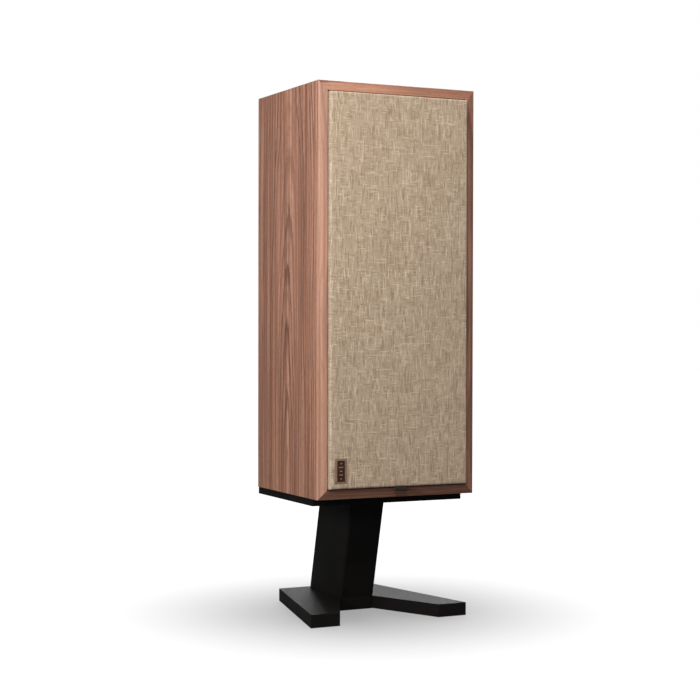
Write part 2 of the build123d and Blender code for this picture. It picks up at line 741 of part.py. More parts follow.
with BuildPart() as grille_badge:
    with BuildSketch(Plane.XZ.offset(-CLOTH_FRONT)):
        with Locations(BADGE_AT):
            RectangleRounded(BADGE_SIZE[0], BADGE_SIZE[1], 2)
    extrude(amount=BADGE_SIZE[2])
    fillet(front_rim(grille_badge), 0.6)
keep("grille_badge", grille_badge)

TAB_TOP = CAB_MID_Z - CLOTH_H / 2 - 0.1
TAB_DROP = 6.0
with BuildPart() as grille_pull_tab:
    with BuildSketch(Plane.YZ):
        with BuildLine():
            Polyline(
                (FRAME_BACK - 3.5, TAB_TOP),
                (CLOTH_FRONT - 2, TAB_TOP),
                (TAB_TIP, TAB_TOP - TAB_DROP),
                (TAB_TIP, TAB_TOP - TAB_DROP - TAB_T * 1.15),
                (CLOTH_FRONT - 1.6, TAB_TOP - TAB_T),
                (FRAME_BACK - 3.5, TAB_TOP - TAB_T),
                close=True,
            )
        make_face()
    extrude(amount=TAB_W / 2, both=True)
keep("grille_pull_tab", grille_pull_tab)

# ---------------------------------------------------------------- stand
LEAN = Vector(0, -COLUMN_LEAN, COLUMN_H)


def column_section(z, inset):
    """Sketch the column's level section at height z, drawn in by inset."""
    slide = COLUMN_LEAN * (z - BASE_TOP) / COLUMN_H
    with BuildSketch(Plane(origin=(0, COLUMN_FOOT_Y - slide, z), z_dir=(0, 0, 1))) as section:
        RectangleRounded(COLUMN_W - 2 * inset, COLUMN_L - 2 * inset, 5 - inset)
    return section.sketch


with BuildPart() as stand_column:
    extrude(column_section(BASE_TOP, 0), amount=LEAN.length, dir=LEAN)
    bore = column_section(BASE_TOP, COLUMN_WALL)
    extrude(bore, amount=LEAN.length, dir=LEAN, mode=Mode.SUBTRACT)
keep("stand_column", stand_column)

END_PLATE_RUN = LEAN.length * END_PLATE_T / COLUMN_H
with BuildPart() as column_end_plates:
    for z in (BASE_TOP, PLATE_BOTTOM - END_PLATE_T):
        extrude(column_section(z, COLUMN_WALL), amount=END_PLATE_RUN, dir=LEAN)
    for z, y in ((BASE_TOP, COLUMN_FOOT_Y), (PLATE_BOTTOM, COLUMN_HEAD_Y)):
        with Locations((0, y, z)):
            with GridLocations(2 * COLUMN_BOLT_X, 2 * COLUMN_BOLT_Y, 2, 2):
                Cylinder(BOLT_R, 4 * END_PLATE_T, mode=Mode.SUBTRACT)
keep("column_end_plates", column_end_plates)

with BuildPart() as stand_top_plate:
    with BuildSketch(Plane.XY.offset(PLATE_BOTTOM)):
        with Locations((0, PLATE_MID_Y)):
            RectangleRounded(PLATE_W, PLATE_BACK - PLATE_FRONT, 3)
    extrude(amount=PLATE_T)
    fillet(stand_top_plate.faces().sort_by(Axis.Z)[0].outer_wire().edges(), 1.2)
    with Locations((0, COLUMN_HEAD_Y, STAND_H)):
        with GridLocations(2 * COLUMN_BOLT_X, 2 * COLUMN_BOLT_Y, 2, 2):
            CounterBoreHole(BOLT_R, BOLT_HEAD_R, BOLT_HEAD_T + HEAD_SINK)
    with Locations(Plane(origin=(0, PLATE_MID_Y, PLATE_BOTTOM), z_dir=(0, 0, -1))):
        with GridLocations(2 * CABINET_BOLT_X, 2 * CABINET_BOLT_Y, 2, 2):
            CounterBoreHole(BOLT_R, BOLT_HEAD_R, BOLT_HEAD_T + HEAD_SINK)
keep("stand_top_plate", stand_top_plate)

BASE_BORE = 12.0        # depth of the recess that hides each bolt head under the base
with BuildPart() as stand_base:
    with BuildSketch(Plane.XY.offset(PAD_T)):
        with BuildLine():
            Polyline(
                (-LEG_OUTER_X, LEG_FRONT),
                (-LEG_INNER_X, LEG_FRONT),
                (-COLUMN_W / 2, COLUMN_FRONT),
                (COLUMN_W / 2, COLUMN_FRONT),
                (LEG_INNER_X, LEG_FRONT),
                (LEG_OUTER_X, LEG_FRONT),
                (BASE_BACK_X, BASE_BACK),
                (-BASE_BACK_X, BASE_BACK),
                close=True,
            )
        make_face()
    extrude(amount=BASE_T)
    fillet(stand_base.faces().sort_by(Axis.Z)[-1].outer_wire().edges(), 1.0)
    with Locations(Plane(origin=(0, COLUMN_FOOT_Y, PAD_T), z_dir=(0, 0, -1))):
        with GridLocations(2 * COLUMN_BOLT_X, 2 * COLUMN_BOLT_Y, 2, 2):
            CounterBoreHole(BOLT_R, BOLT_HEAD_R, BASE_BORE)
keep("stand_base", stand_base)

with BuildPart() as stand_pads:
    with Locations(*[(x, y, 0) for x, y in PAD_PLACES]):
        Cylinder(PAD_R, PAD_T, align=(Align.CENTER, Align.CENTER, Align.MIN))
keep("stand_pads", stand_pads)


def bolts(x_pitch, y_pitch, length, head_seat):
    """Four bolts whose heads bear on head_seat, a plane that faces the way the heads stand."""
    with Locations(head_seat):
        with GridLocations(x_pitch, y_pitch, 2, 2):
            Cylinder(BOLT_R, length, align=(Align.CENTER, Align.CENTER, Align.MAX))
            Cylinder(BOLT_HEAD_R, BOLT_HEAD_T, align=(Align.CENTER, Align.CENTER, Align.MIN))
        with Locations((0, 0, BOLT_HEAD_T)):
            with GridLocations(x_pitch, y_pitch, 2, 2):
                Cylinder(3, 4, align=(Align.CENTER, Align.CENTER, Align.MAX), mode=Mode.SUBTRACT)


FOOT_SEAT = Plane(origin=(0, COLUMN_FOOT_Y, PAD_T + BASE_BORE), z_dir=(0, 0, -1))
HEAD_SEAT = Plane(origin=(0, COLUMN_HEAD_Y, STAND_H - BOLT_HEAD_T - HEAD_SINK), z_dir=(0, 0, 1))
CABINET_SEAT = Plane(origin=(0, PLATE_MID_Y, PLATE_BOTTOM + BOLT_HEAD_T + HEAD_SINK), z_dir=(0, 0, -1))

with BuildPart() as stand_bolts:
    bolts(2 * COLUMN_BOLT_X, 2 * COLUMN_BOLT_Y, BOLT_L, FOOT_SEAT)
    bolts(2 * COLUMN_BOLT_X, 2 * COLUMN_BOLT_Y, BOLT_L, HEAD_SEAT)
    bolts(2 * CABINET_BOLT_X, 2 * CABINET_BOLT_Y, CABINET_BOLT_L, CABINET_SEAT)
keep("stand_bolts", stand_bolts)

# ---------------------------------------------------------------- export
os.makedirs("parts", exist_ok=True)
for name, part in parts.items():
    export_step(part, "parts/" + name + ".step")
print(len(parts), "nodes")
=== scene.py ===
"""Looks of a floorstanding loudspeaker on its stand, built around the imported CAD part.

Metres, +Z up, and the listener on the -Y side, as in the part's own frame.  A CAD node
whose shape is right keeps it and gets a finish; the eased boards, the cloth, the badge,
the pull tab, the terminal caps and the soft suspensions are meshes made here.
"""
import json
import math

import bmesh
import bpy
from mathutils import Matrix, Vector

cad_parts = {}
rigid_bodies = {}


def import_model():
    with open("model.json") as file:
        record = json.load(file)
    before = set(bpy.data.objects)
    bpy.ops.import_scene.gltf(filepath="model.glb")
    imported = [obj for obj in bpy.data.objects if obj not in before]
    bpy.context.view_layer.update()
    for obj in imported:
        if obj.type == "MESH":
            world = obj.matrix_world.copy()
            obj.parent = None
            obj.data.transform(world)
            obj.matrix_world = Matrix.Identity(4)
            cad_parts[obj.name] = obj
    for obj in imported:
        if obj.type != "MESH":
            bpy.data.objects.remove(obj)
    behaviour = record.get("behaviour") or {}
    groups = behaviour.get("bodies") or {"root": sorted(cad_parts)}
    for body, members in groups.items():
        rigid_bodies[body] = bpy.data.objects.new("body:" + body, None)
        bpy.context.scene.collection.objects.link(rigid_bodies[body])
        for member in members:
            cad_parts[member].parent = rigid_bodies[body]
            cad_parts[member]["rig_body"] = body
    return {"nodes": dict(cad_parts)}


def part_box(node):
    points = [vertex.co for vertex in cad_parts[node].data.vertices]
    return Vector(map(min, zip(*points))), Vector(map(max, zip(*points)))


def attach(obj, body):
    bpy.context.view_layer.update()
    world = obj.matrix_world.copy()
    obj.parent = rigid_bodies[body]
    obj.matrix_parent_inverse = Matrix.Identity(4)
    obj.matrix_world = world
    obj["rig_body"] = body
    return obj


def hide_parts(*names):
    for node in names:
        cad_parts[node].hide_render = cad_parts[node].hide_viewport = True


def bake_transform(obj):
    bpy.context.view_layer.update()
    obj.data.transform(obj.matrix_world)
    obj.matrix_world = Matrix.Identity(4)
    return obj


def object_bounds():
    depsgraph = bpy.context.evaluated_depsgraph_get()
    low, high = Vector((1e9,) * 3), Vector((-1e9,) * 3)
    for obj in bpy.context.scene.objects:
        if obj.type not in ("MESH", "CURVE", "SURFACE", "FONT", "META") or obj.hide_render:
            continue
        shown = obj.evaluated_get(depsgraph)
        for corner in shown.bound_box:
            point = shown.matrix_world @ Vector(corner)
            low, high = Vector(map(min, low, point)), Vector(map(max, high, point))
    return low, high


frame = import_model()
CAD_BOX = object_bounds()
NODES = frame["nodes"]
MM = 0.001


# ---------------------------------------------------------------- material graphs
def shade(red, green, blue):
    """A linear colour from the 0 to 255 values of a colour picker."""
    channels = [value / 255 for value in (red, green, blue)]
    linear = [c / 12.92 if c <= 0.04045 else ((c + 0.055) / 1.055) ** 2.4 for c in channels]
    return (*linear, 1.0)


class Finish:
    """One material. Each method adds a node to its tree and gives back what it puts out."""

    def __init__(self, name):
        self.material = bpy.data.materials.new(name)
        self.material.use_nodes = True
        self.tree = self.material.node_tree
        self.shader = self.tree.nodes["Principled BSDF"]
        coordinates = self.node("ShaderNodeTexCoord")
        self.place = coordinates.outputs["Object"]
        self.flat = coordinates.outputs["UV"]

    def node(self, kind, **settings):
        """Any node, with its settings."""
        made = self.tree.nodes.new(kind)
        for setting, value in settings.items():
            setattr(made, setting, value)
        return made

    def feed(self, socket, value):
        """Links another socket to this one, or sets its number or colour."""
        if isinstance(value, bpy.types.NodeSocket):
            self.tree.links.new(value, socket)
        else:
            socket.default_value = value

    def math(self, operation, *values):
        made = self.node("ShaderNodeMath", operation=operation)
        for socket, value in zip(made.inputs, values):
            self.feed(socket, value)
        return made.outputs[0]

    def parts(self, vector):
        """The three components of a vector."""
        made = self.node("ShaderNodeSeparateXYZ")
        self.feed(made.inputs[0], vector)
        return made.outputs[0], made.outputs[1], made.outputs[2]

    def vector(self, x, y, z):
        made = self.node("ShaderNodeCombineXYZ")
        for socket, value in zip(made.inputs, (x, y, z)):
            self.feed(socket, value)
        return made.outputs[0]

    def noise(self, vector, scale=1.0, detail=2.0, roughness=0.5):
        made = self.node("ShaderNodeTexNoise")
        self.feed(made.inputs["Vector"], vector)
        self.feed(made.inputs["Scale"], scale)
        self.feed(made.inputs["Detail"], detail)
        self.feed(made.inputs["Roughness"], roughness)
        return made.outputs[0]

    def cells(self, vector, scale):
        """Distance from the middle of the nearest of many irregular cells."""
        made = self.node("ShaderNodeTexVoronoi")
        self.feed(made.inputs["Vector"], vector)
        self.feed(made.inputs["Scale"], scale)
        return made.outputs["Distance"]

    def span(self, value, low, high, start=0.0, end=1.0):
        """value's stretch from low to high, spread smoothly over start to end."""
        made = self.node("ShaderNodeMapRange", interpolation_type="SMOOTHSTEP")
        names = ("Value", "From Min", "From Max", "To Min", "To Max")
        for name, number in zip(names, (value, low, high, start, end)):
            self.feed(made.inputs[name], number)
        return made.outputs[0]

    def mix(self, share, first, second):
        """Colour first with a share of colour second in it."""
        made = self.node("ShaderNodeMix", data_type="RGBA")
        self.feed(made.inputs["Factor"], share)
        self.feed(made.inputs[6], first)
        self.feed(made.inputs[7], second)
        return made.outputs[2]

    def bump(self, height, distance, strength=1.0):
        made = self.node("ShaderNodeBump")
        self.feed(made.inputs["Height"], height)
        self.feed(made.inputs["Distance"], distance)
        self.feed(made.inputs["Strength"], strength)
        self.feed(self.shader.inputs["Normal"], made.outputs[0])

    def surface(self, **sockets):
        """Sets the shader's sockets; an underscore stands for a space in their names."""
        for name, value in sockets.items():
            self.feed(self.shader.inputs[name.replace("_", " ")], value)
        return self.material


# ---------------------------------------------------------------- materials
# The next tone is used only as a painted sheen on the left board's front edge band.
WOOD_PAINTED_SHEEN = shade(206, 164, 142)
WOOD_LIGHT = shade(203, 151, 126)
WOOD_MIDDLE = shade(181, 129, 104)
WOOD_DARK = shade(112, 70, 52)
WOOD_DEEP = shade(80, 46, 33)
WOOD_LINE = shade(80, 48, 36)
RING_PITCH = 10.5 * MM
FINE_RING_PITCH = 4.6 * MM
HEART_DRIFT = 10 * MM       # how far the heart wanders to each side
HEART_SWELL = 5 * MM        # and how far in depth
RING_RAGGEDNESS = 1.6 * MM
FAR_APART = 7.31            # noise this far apart has nothing in common
# In front of this Y a board's front edge band is tinted with painted light: a painted sheen on the left
# board, painted shade on the right and bottom boards.
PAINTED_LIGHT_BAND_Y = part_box("cabinet_left_side")[0].y + 6 * MM


def walnut(name, across, along, through, heart, start, lean, painted_light_tone, painted_light_share):
    """Flat-sawn walnut. Growth rings lie round a heart that drifts away from the board.

    across, along and through are the numbers of the axes; heart is the figure's middle
    across the board, start the heart's depth at the along axis's zero, and lean how
    fast that depth grows, so that each ring comes out of the board as a pointed flame.
    The board's front edge band leans towards the tone in the last but one argument, by the share in the last:
    this is painted light, a painted sheen on the left board and painted shade on the right and bottom boards.
    """
    finish = Finish(name)
    axes = finish.parts(finish.place)
    wide, long, deep = axes[across], axes[along], axes[through]

    def grain(cross_scale, long_scale, detail=2.0, roughness=0.5):
        """Noise that is long along the board and narrow across it."""
        point = finish.vector(
            finish.math("MULTIPLY", wide, cross_scale),
            finish.math("MULTIPLY", deep, cross_scale),
            finish.math("MULTIPLY", long, long_scale),
        )
        return finish.noise(point, 1.0, detail, roughness)

    drift = finish.span(grain(2.0, 2.2, 1.0), 0.25, 0.75, -HEART_DRIFT, HEART_DRIFT)
    swell = finish.span(grain(7.0, 1.7, 2.0), 0.2, 0.8, -HEART_SWELL, HEART_SWELL)
    from_heart = finish.math("ADD", finish.math("SUBTRACT", wide, heart), drift)
    depth = finish.math("MULTIPLY_ADD", long, lean, start)
    depth = finish.math("ADD", finish.math("ADD", depth, deep), swell)
    depth_squared = finish.math("MULTIPLY", depth, depth)
    squares = finish.math("MULTIPLY_ADD", from_heart, from_heart, depth_squared)
    ragged = finish.span(grain(170.0, 4.0, 3.0, 0.6), 0.2, 0.8, -RING_RAGGEDNESS, RING_RAGGEDNESS)
    radius = finish.math("ADD", finish.math("SQRT", squares), ragged)

    def rings(pitch, seed):
        """Dark latewood lines: each ring has its own strength, and its outer side ends sharply."""
        count = finish.math("DIVIDE", radius, pitch)
        ring = finish.math("FRACT", count)
        number = finish.math("FLOOR", count)
        own_place = finish.vector(finish.math("MULTIPLY", number, FAR_APART), seed, 0.0)
        chance = finish.noise(own_place, 1.0, 0.0)
        line = finish.math("MULTIPLY", finish.span(ring, 0.45, 0.92), finish.span(ring, 1.0, 0.94))
        return finish.math("MULTIPLY", line, finish.span(chance, 0.35, 0.62, 0.12, 1.0))

    late = rings(RING_PITCH, 2.3)
    thin = rings(FINE_RING_PITCH, 8.1)
    band = finish.span(grain(24.0, 0.7, 2.0), 0.38, 0.62)
    streak = finish.span(grain(95.0, 0.9, 3.0, 0.7), 0.45, 0.60)
    line = finish.span(grain(210.0, 1.6, 2.0, 0.6), 0.52, 0.62)
    fibre = grain(1300.0, 26.0, 2.0, 0.6)
    pore = finish.span(grain(1500.0, 95.0, 1.0), 0.6, 0.7)

    # Mask of the front edge band, where each board gets its painted light: sheen on the left, shade on the
    # right and bottom.
    edge = finish.span(axes[1], PAINTED_LIGHT_BAND_Y, PAINTED_LIGHT_BAND_Y - 1 * MM)
    colour = finish.mix(band, WOOD_MIDDLE, WOOD_LIGHT)
    colour = finish.mix(finish.math("MULTIPLY", streak, 0.62), colour, WOOD_DARK)
    colour = finish.mix(finish.math("MULTIPLY", late, 0.9), colour, WOOD_DEEP)
    colour = finish.mix(finish.math("MULTIPLY", thin, 0.5), colour, WOOD_DARK)
    colour = finish.mix(finish.math("MULTIPLY", line, 0.6), colour, WOOD_DARK)
    colour = finish.mix(finish.span(fibre, 0.3, 0.7, 0.0, 0.2), colour, WOOD_LIGHT)
    colour = finish.mix(finish.math("MULTIPLY", pore, 0.6), colour, WOOD_LINE)
    # Painted sheen or painted shade on the front edge band, as the board's arguments give.
    colour = finish.mix(finish.math("MULTIPLY", edge, painted_light_share), colour, painted_light_tone)

    ridges = finish.math("MULTIPLY_ADD", fibre, 0.35, finish.math("MULTIPLY", pore, -1.0))
    finish.bump(ridges, 0.06 * MM, 0.5)
    rough = finish.math("MULTIPLY_ADD", late, -0.08, finish.span(fibre, 0.3, 0.7, 0.42, 0.52))
    return finish.surface(
        Base_Color=colour, Roughness=rough, Coat_Weight=0.12, Coat_Roughness=0.32, Specular_IOR_Level=0.4
    )


THREAD = 1.5 * MM       # pitch of the grille cloth's threads
YARN = 2.1 * MM         # width of the strokes that its slubs make
LINEN_PALE = shade(236, 220, 198)
LINEN_LIGHT = shade(222, 202, 177)
LINEN_BASE = shade(195, 174, 149)
LINEN_SHADOW = shade(156, 134, 111)
LINEN_DARK = shade(122, 98, 76)
# Painted shade for the gaps between the threads.
LINEN_GAP_SHADE = shade(104, 83, 65)


def linen(name):
    """Plain-woven slubby linen: each thread thickens and pales at random along its run."""
    finish = Finish(name)
    u, v, _ = finish.parts(finish.flat)

    def threads(side, run, seed):
        """Profile, slub and shade of the threads that lie side by side along one axis."""
        count = finish.math("DIVIDE", side, THREAD)
        number = finish.math("FLOOR", count)
        step = finish.math("MULTIPLY_ADD", number, FAR_APART, seed)
        slub = finish.noise(finish.vector(step, finish.math("MULTIPLY", run, 38.0), seed), 1.0, 1.0)
        tint = finish.noise(finish.vector(step, finish.math("MULTIPLY", run, 14.0), seed + 9.0), 1.0, 2.0)
        off_middle = finish.math("ABSOLUTE", finish.math("SUBTRACT", finish.math("FRACT", count), 0.5))
        profile = finish.math("SUBTRACT", 1.0, finish.math("MULTIPLY", off_middle, 2.0))
        return number, profile, slub, tint

    warp, warp_round, warp_slub, warp_tint = threads(u, v, 3.7)
    weft, weft_round, weft_slub, weft_tint = threads(v, u, 51.3)
    parity = finish.math("MODULO", finish.math("ABSOLUTE", finish.math("ADD", warp, weft)), 2.0)
    warp_up = finish.math("ADD", parity, finish.span(warp_slub, 0.5, 0.7))
    weft_up = finish.math("ADD", finish.math("SUBTRACT", 1.0, parity), finish.span(weft_slub, 0.55, 0.72))
    warp_height = finish.math("MULTIPLY", warp_round, finish.math("MULTIPLY_ADD", warp_up, 0.6, 0.4))
    weft_height = finish.math("MULTIPLY", weft_round, finish.math("MULTIPLY_ADD", weft_up, 0.6, 0.4))
    height = finish.math("MAXIMUM", warp_height, weft_height)

    warp_pale = finish.span(warp_slub, 0.60, 0.72, 0.0, 0.8)
    weft_pale = finish.span(weft_slub, 0.63, 0.73, 0.0, 0.7)
    # Strokes a little wider than the threads: each yarn has its own along its run.
    yarn_u = finish.math("MULTIPLY", finish.math("FLOOR", finish.math("DIVIDE", u, YARN)), FAR_APART)
    yarn_v = finish.math("MULTIPLY", finish.math("FLOOR", finish.math("DIVIDE", v, YARN)), FAR_APART)
    upright = finish.noise(finish.vector(yarn_u, finish.math("MULTIPLY", v, 30.0), 0.0), 1.0, 1.0)
    level = finish.noise(finish.vector(finish.math("MULTIPLY", u, 42.0), yarn_v, 7.0), 1.0, 1.0)
    speck = finish.noise(finish.vector(u, v, 0.0), 330.0, 1.0)
    fleck = finish.noise(finish.vector(u, v, 5.0), 380.0, 1.0)
    patch = finish.noise(finish.vector(u, v, 0.0), 11.0, 2.0)

    colour = finish.mix(finish.span(upright, 0.30, 0.50), LINEN_SHADOW, LINEN_BASE)
    colour = finish.mix(finish.span(level, 0.42, 0.30, 0.0, 0.7), colour, LINEN_SHADOW)
    colour = finish.mix(finish.span(upright, 0.60, 0.70, 0.0, 0.7), colour, LINEN_LIGHT)
    colour = finish.mix(finish.span(level, 0.62, 0.72, 0.0, 0.7), colour, LINEN_LIGHT)
    colour = finish.mix(finish.math("MULTIPLY", warp_tint, 0.35), colour, LINEN_SHADOW)
    colour = finish.mix(finish.math("MULTIPLY", weft_tint, 0.25), colour, LINEN_SHADOW)
    colour = finish.mix(finish.math("MAXIMUM", warp_pale, weft_pale), colour, LINEN_LIGHT)
    colour = finish.mix(finish.span(fleck, 0.68, 0.75, 0.0, 0.6), colour, LINEN_PALE)
    colour = finish.mix(finish.span(speck, 0.66, 0.74, 0.0, 0.7), colour, LINEN_DARK)
    # Painted shade in the gaps between the threads, where their height is low.
    colour = finish.mix(finish.span(height, 0.30, 0.05, 0.0, 0.6), colour, LINEN_GAP_SHADE)
    colour = finish.mix(finish.span(patch, 0.3, 0.7, 0.12, 0.0), colour, LINEN_SHADOW)
    finish.bump(height, 0.4 * MM, 0.5)
    return finish.surface(
        Base_Color=colour,
        Roughness=finish.span(height, 0.2, 0.9, 0.95, 0.82),
        Specular_IOR_Level=0.25,
        Sheen_Weight=0.2,
        Sheen_Roughness=0.5,
    )


def powder_coat(name):
    """Satin black powder coat with its fine orange peel and a little dust."""
    finish = Finish(name)
    peel = finish.noise(finish.place, 900.0, 2.0, 0.6)
    slow = finish.noise(finish.place, 12.0, 3.0)
    grain = finish.noise(finish.place, 3500.0, 1.0)
    dust = finish.span(finish.noise(finish.place, 260.0, 3.0, 0.7), 0.62, 0.75, 0.0, 0.12)
    colour = finish.mix(finish.span(slow, 0.3, 0.7), shade(19, 17, 16), shade(25, 23, 22))
    colour = finish.mix(dust, colour, shade(64, 60, 57))
    finish.bump(finish.math("MULTIPLY_ADD", grain, 0.3, peel), 0.05 * MM, 0.35)
    return finish.surface(
        Base_Color=colour, Roughness=finish.span(peel, 0.3, 0.7, 0.52, 0.64), Specular_IOR_Level=0.10
    )


def plain(name, low, high, scale, rough, metallic=0.0, bump=0.04 * MM, strength=0.3, **sockets):
    """A moulded, painted, cast or plated surface: two close tones, mottled roughness and a fine bump."""
    finish = Finish(name)
    mottle = finish.noise(finish.place, scale, 3.0, 0.6)
    fine = finish.noise(finish.place, scale * 7.0, 2.0, 0.6)
    colour = finish.mix(finish.span(mottle, 0.3, 0.7), low, high)
    finish.bump(finish.math("MULTIPLY_ADD", fine, 0.5, mottle), bump, strength)
    return finish.surface(
        Base_Color=colour,
        Roughness=finish.span(fine, 0.3, 0.7, rough[0], rough[1]),
        Metallic=metallic,
        **sockets,
    )


def board_edge(name, face, core, layers):
    """Plywood or fibreboard: a mottled face with thin layers that show along its thickness."""
    finish = Finish(name)
    x, y, z = finish.parts(finish.place)
    layer = finish.math("FRACT", finish.math("MULTIPLY", finish.math("ADD", y, z), layers))
    stretched = finish.vector(
        finish.math("MULTIPLY", x, 40.0),
        finish.math("MULTIPLY", y, 900.0),
        finish.math("MULTIPLY", z, 900.0),
    )
    fibre = finish.noise(stretched, 1.0, 3.0, 0.6)
    mottle = finish.noise(finish.place, 300.0, 3.0, 0.6)
    colour = finish.mix(finish.span(layer, 0.4, 0.6, 0.0, 0.4), face, core)
    colour = finish.mix(finish.span(fibre, 0.3, 0.7, 0.0, 0.4), colour, core)
    finish.bump(mottle, 0.1 * MM, 0.4)
    return finish.surface(Base_Color=colour, Roughness=finish.span(mottle, 0.3, 0.7, 0.6, 0.8))


def winding(name, pitch, axis):
    """Enamelled copper wire wound in close turns along one axis."""
    finish = Finish(name)
    run = finish.parts(finish.place)[axis]
    turn = finish.math("FRACT", finish.math("DIVIDE", run, pitch))
    crown = finish.math("SUBTRACT", 0.5, finish.math("ABSOLUTE", finish.math("SUBTRACT", turn, 0.5)))
    mottle = finish.noise(finish.place, 350.0, 2.0)
    colour = finish.mix(finish.span(mottle, 0.3, 0.7), shade(150, 76, 40), shade(196, 112, 66))
    # Painted shade in the grooves between the turns.
    colour = finish.mix(finish.span(crown, 0.12, 0.0, 0.0, 0.8), colour, shade(60, 28, 16))
    finish.bump(crown, 0.3 * MM, 0.8)
    return finish.surface(
        Base_Color=colour, Metallic=0.85, Roughness=finish.span(mottle, 0.3, 0.7, 0.28, 0.4)
    )


def pulp(name, low, high):
    """Pressed paper pulp: matted fibres and small pits."""
    finish = Finish(name)
    matt = finish.noise(finish.place, 190.0, 5.0, 0.7)
    fibre = finish.noise(finish.place, 900.0, 3.0, 0.7)
    colour = finish.mix(finish.span(matt, 0.35, 0.65), low, high)
    colour = finish.mix(finish.span(fibre, 0.6, 0.75, 0.0, 0.5), colour, shade(120, 116, 110))
    finish.bump(finish.math("MULTIPLY_ADD", fibre, 0.5, matt), 0.35 * MM, 0.6)
    return finish.surface(Base_Color=colour, Roughness=finish.span(fibre, 0.3, 0.7, 0.78, 0.92))


def fabric(name, low, high, pitch):
    """A fine plain weave on a shaped piece: one set of ribs up it, the other across it."""
    finish = Finish(name)
    x, y, z = finish.parts(finish.place)

    def rib(value):
        turn = finish.math("FRACT", finish.math("DIVIDE", value, pitch))
        off_crown = finish.math("ABSOLUTE", finish.math("MULTIPLY_ADD", turn, 2.0, -1.0))
        return finish.math("SUBTRACT", 1.0, off_crown)

    weave = finish.math("MULTIPLY", rib(finish.math("ADD", x, y)), rib(z))
    mottle = finish.noise(finish.place, 160.0, 3.0)
    # Painted shade between the ribs: the low tone in the troughs, the high tone on the crowns.
    colour = finish.mix(finish.span(weave, 0.0, 0.6), low, high)
    colour = finish.mix(finish.span(mottle, 0.3, 0.7, 0.0, 0.25), colour, low)
    finish.bump(weave, 0.2 * MM, 0.6)
    return finish.surface(
        Base_Color=colour,
        Roughness=finish.span(weave, 0.0, 1.0, 0.9, 0.8),
        Specular_IOR_Level=0.2,
        Sheen_Weight=0.05,
    )


def leather(name, low, high, rough):
    """Fine-grained leather: pebbles with dark creases between them."""
    finish = Finish(name)
    pebble = finish.cells(finish.place, 900.0)
    crease = finish.span(pebble, 0.25, 0.75)
    mottle = finish.noise(finish.place, 120.0, 3.0)
    colour = finish.mix(finish.span(mottle, 0.3, 0.7), low, high)
    colour = finish.mix(finish.math("MULTIPLY", crease, 0.5), colour, low)
    finish.bump(finish.math("SUBTRACT", 1.0, crease), 0.12 * MM, 0.5)
    return finish.surface(
        Base_Color=colour,
        Roughness=finish.span(crease, 0.0, 1.0, rough, rough + 0.15),
        Specular_IOR_Level=0.4,
    )


# One finish for each of the part's material names; each walnut board gets its own below.
MATERIALS = {
    "black_panel": plain("black_lacquer", shade(28, 26, 25), shade(36, 34, 32), 240.0, (0.5, 0.62)),
    "plywood": board_edge("birch_plywood", shade(196, 164, 122), shade(148, 112, 76), 420.0),
    "basket_paint": plain("crackle_paint", shade(24, 24, 25), shade(38, 38, 40), 520.0, (0.45, 0.6), 0.2,
                          0.15 * MM, 0.5),
    "zinc_steel": plain("zinc_plate", shade(150, 150, 146), shade(186, 185, 178), 300.0, (0.28, 0.42), 1.0),
    "ferrite": plain("ferrite_ceramic", shade(44, 44, 46), shade(66, 66, 68), 700.0, (0.55, 0.7), 0.0,
                     0.1 * MM, 0.5),
    "coil": winding("coil_wire", 0.4 * MM, 1),
    "spider_cloth": fabric("spider_weave", shade(122, 88, 42), shade(178, 140, 78), 0.7 * MM),
    "cone_paper": pulp("cone_pulp", shade(34, 34, 35), shade(54, 53, 53)),
    "surround_rubber": plain("butyl_rubber", shade(20, 20, 21), shade(29, 29, 30), 160.0, (0.5, 0.62)),
    "dome_silk": fabric("dome_weave", shade(20, 20, 22), shade(52, 52, 56), 0.35 * MM),
    "black_plastic": plain("black_moulding", shade(22, 22, 23), shade(31, 31, 32), 420.0, (0.42, 0.55)),
    "terminal_plate": plain("black_anodising", shade(42, 42, 44), shade(54, 54, 57), 620.0, (0.34, 0.46),
                            0.8),
    "gold_brass": plain("gold_plate", shade(198, 152, 74), shade(226, 184, 104), 260.0, (0.18, 0.3), 1.0),
    "red_plastic": plain("red_moulding", shade(128, 16, 16), shade(160, 24, 22), 420.0, (0.3, 0.42)),
    "board": pulp("pressed_fibreboard", shade(126, 98, 66), shade(160, 128, 90)),
    "capacitor_film": plain("capacitor_wrap", shade(168, 62, 36), shade(198, 84, 48), 300.0, (0.26, 0.38)),
    "resistor_ceramic": plain("ceramic_body", shade(206, 202, 190), shade(228, 224, 212), 500.0, (0.6, 0.75),
                              0.0, 0.1 * MM, 0.4),
    "lead_jacket": plain("lead_sleeve", shade(36, 34, 34), shade(50, 48, 47), 300.0, (0.42, 0.55)),
    "black_steel": plain("blackened_steel", shade(30, 30, 31), shade(46, 46, 47), 420.0, (0.32, 0.46), 0.9),
    "grille_board": board_edge("stained_fibreboard", shade(44, 40, 37), shade(30, 27, 25), 300.0),
    "grille_linen": linen("slub_linen"),
    "magnet_nickel": plain("nickel_plate", shade(172, 168, 158), shade(204, 200, 190), 300.0, (0.16, 0.28),
                           1.0),
    "badge_leather": leather("badge_hide", shade(42, 20, 15), shade(62, 32, 24), 0.5),
    "tab_webbing": fabric("webbing_ribs", shade(4, 4, 5), shade(13, 13, 16), 0.9 * MM),
    "stand_black": powder_coat("satin_powder_coat"),
    "pad_rubber": plain("pad_rubber", shade(22, 22, 22), shade(34, 34, 34), 300.0, (0.8, 0.92)),
}
BADGE_PALE = leather("badge_pale_hide", shade(128, 100, 78), shade(152, 122, 97), 0.55)
BADGE_BARS = leather("badge_bar_hide", shade(146, 108, 82), shade(170, 130, 100), 0.4)
TACK_THREAD = fabric("red_thread", shade(96, 14, 14), shade(140, 28, 24), 0.3 * MM)


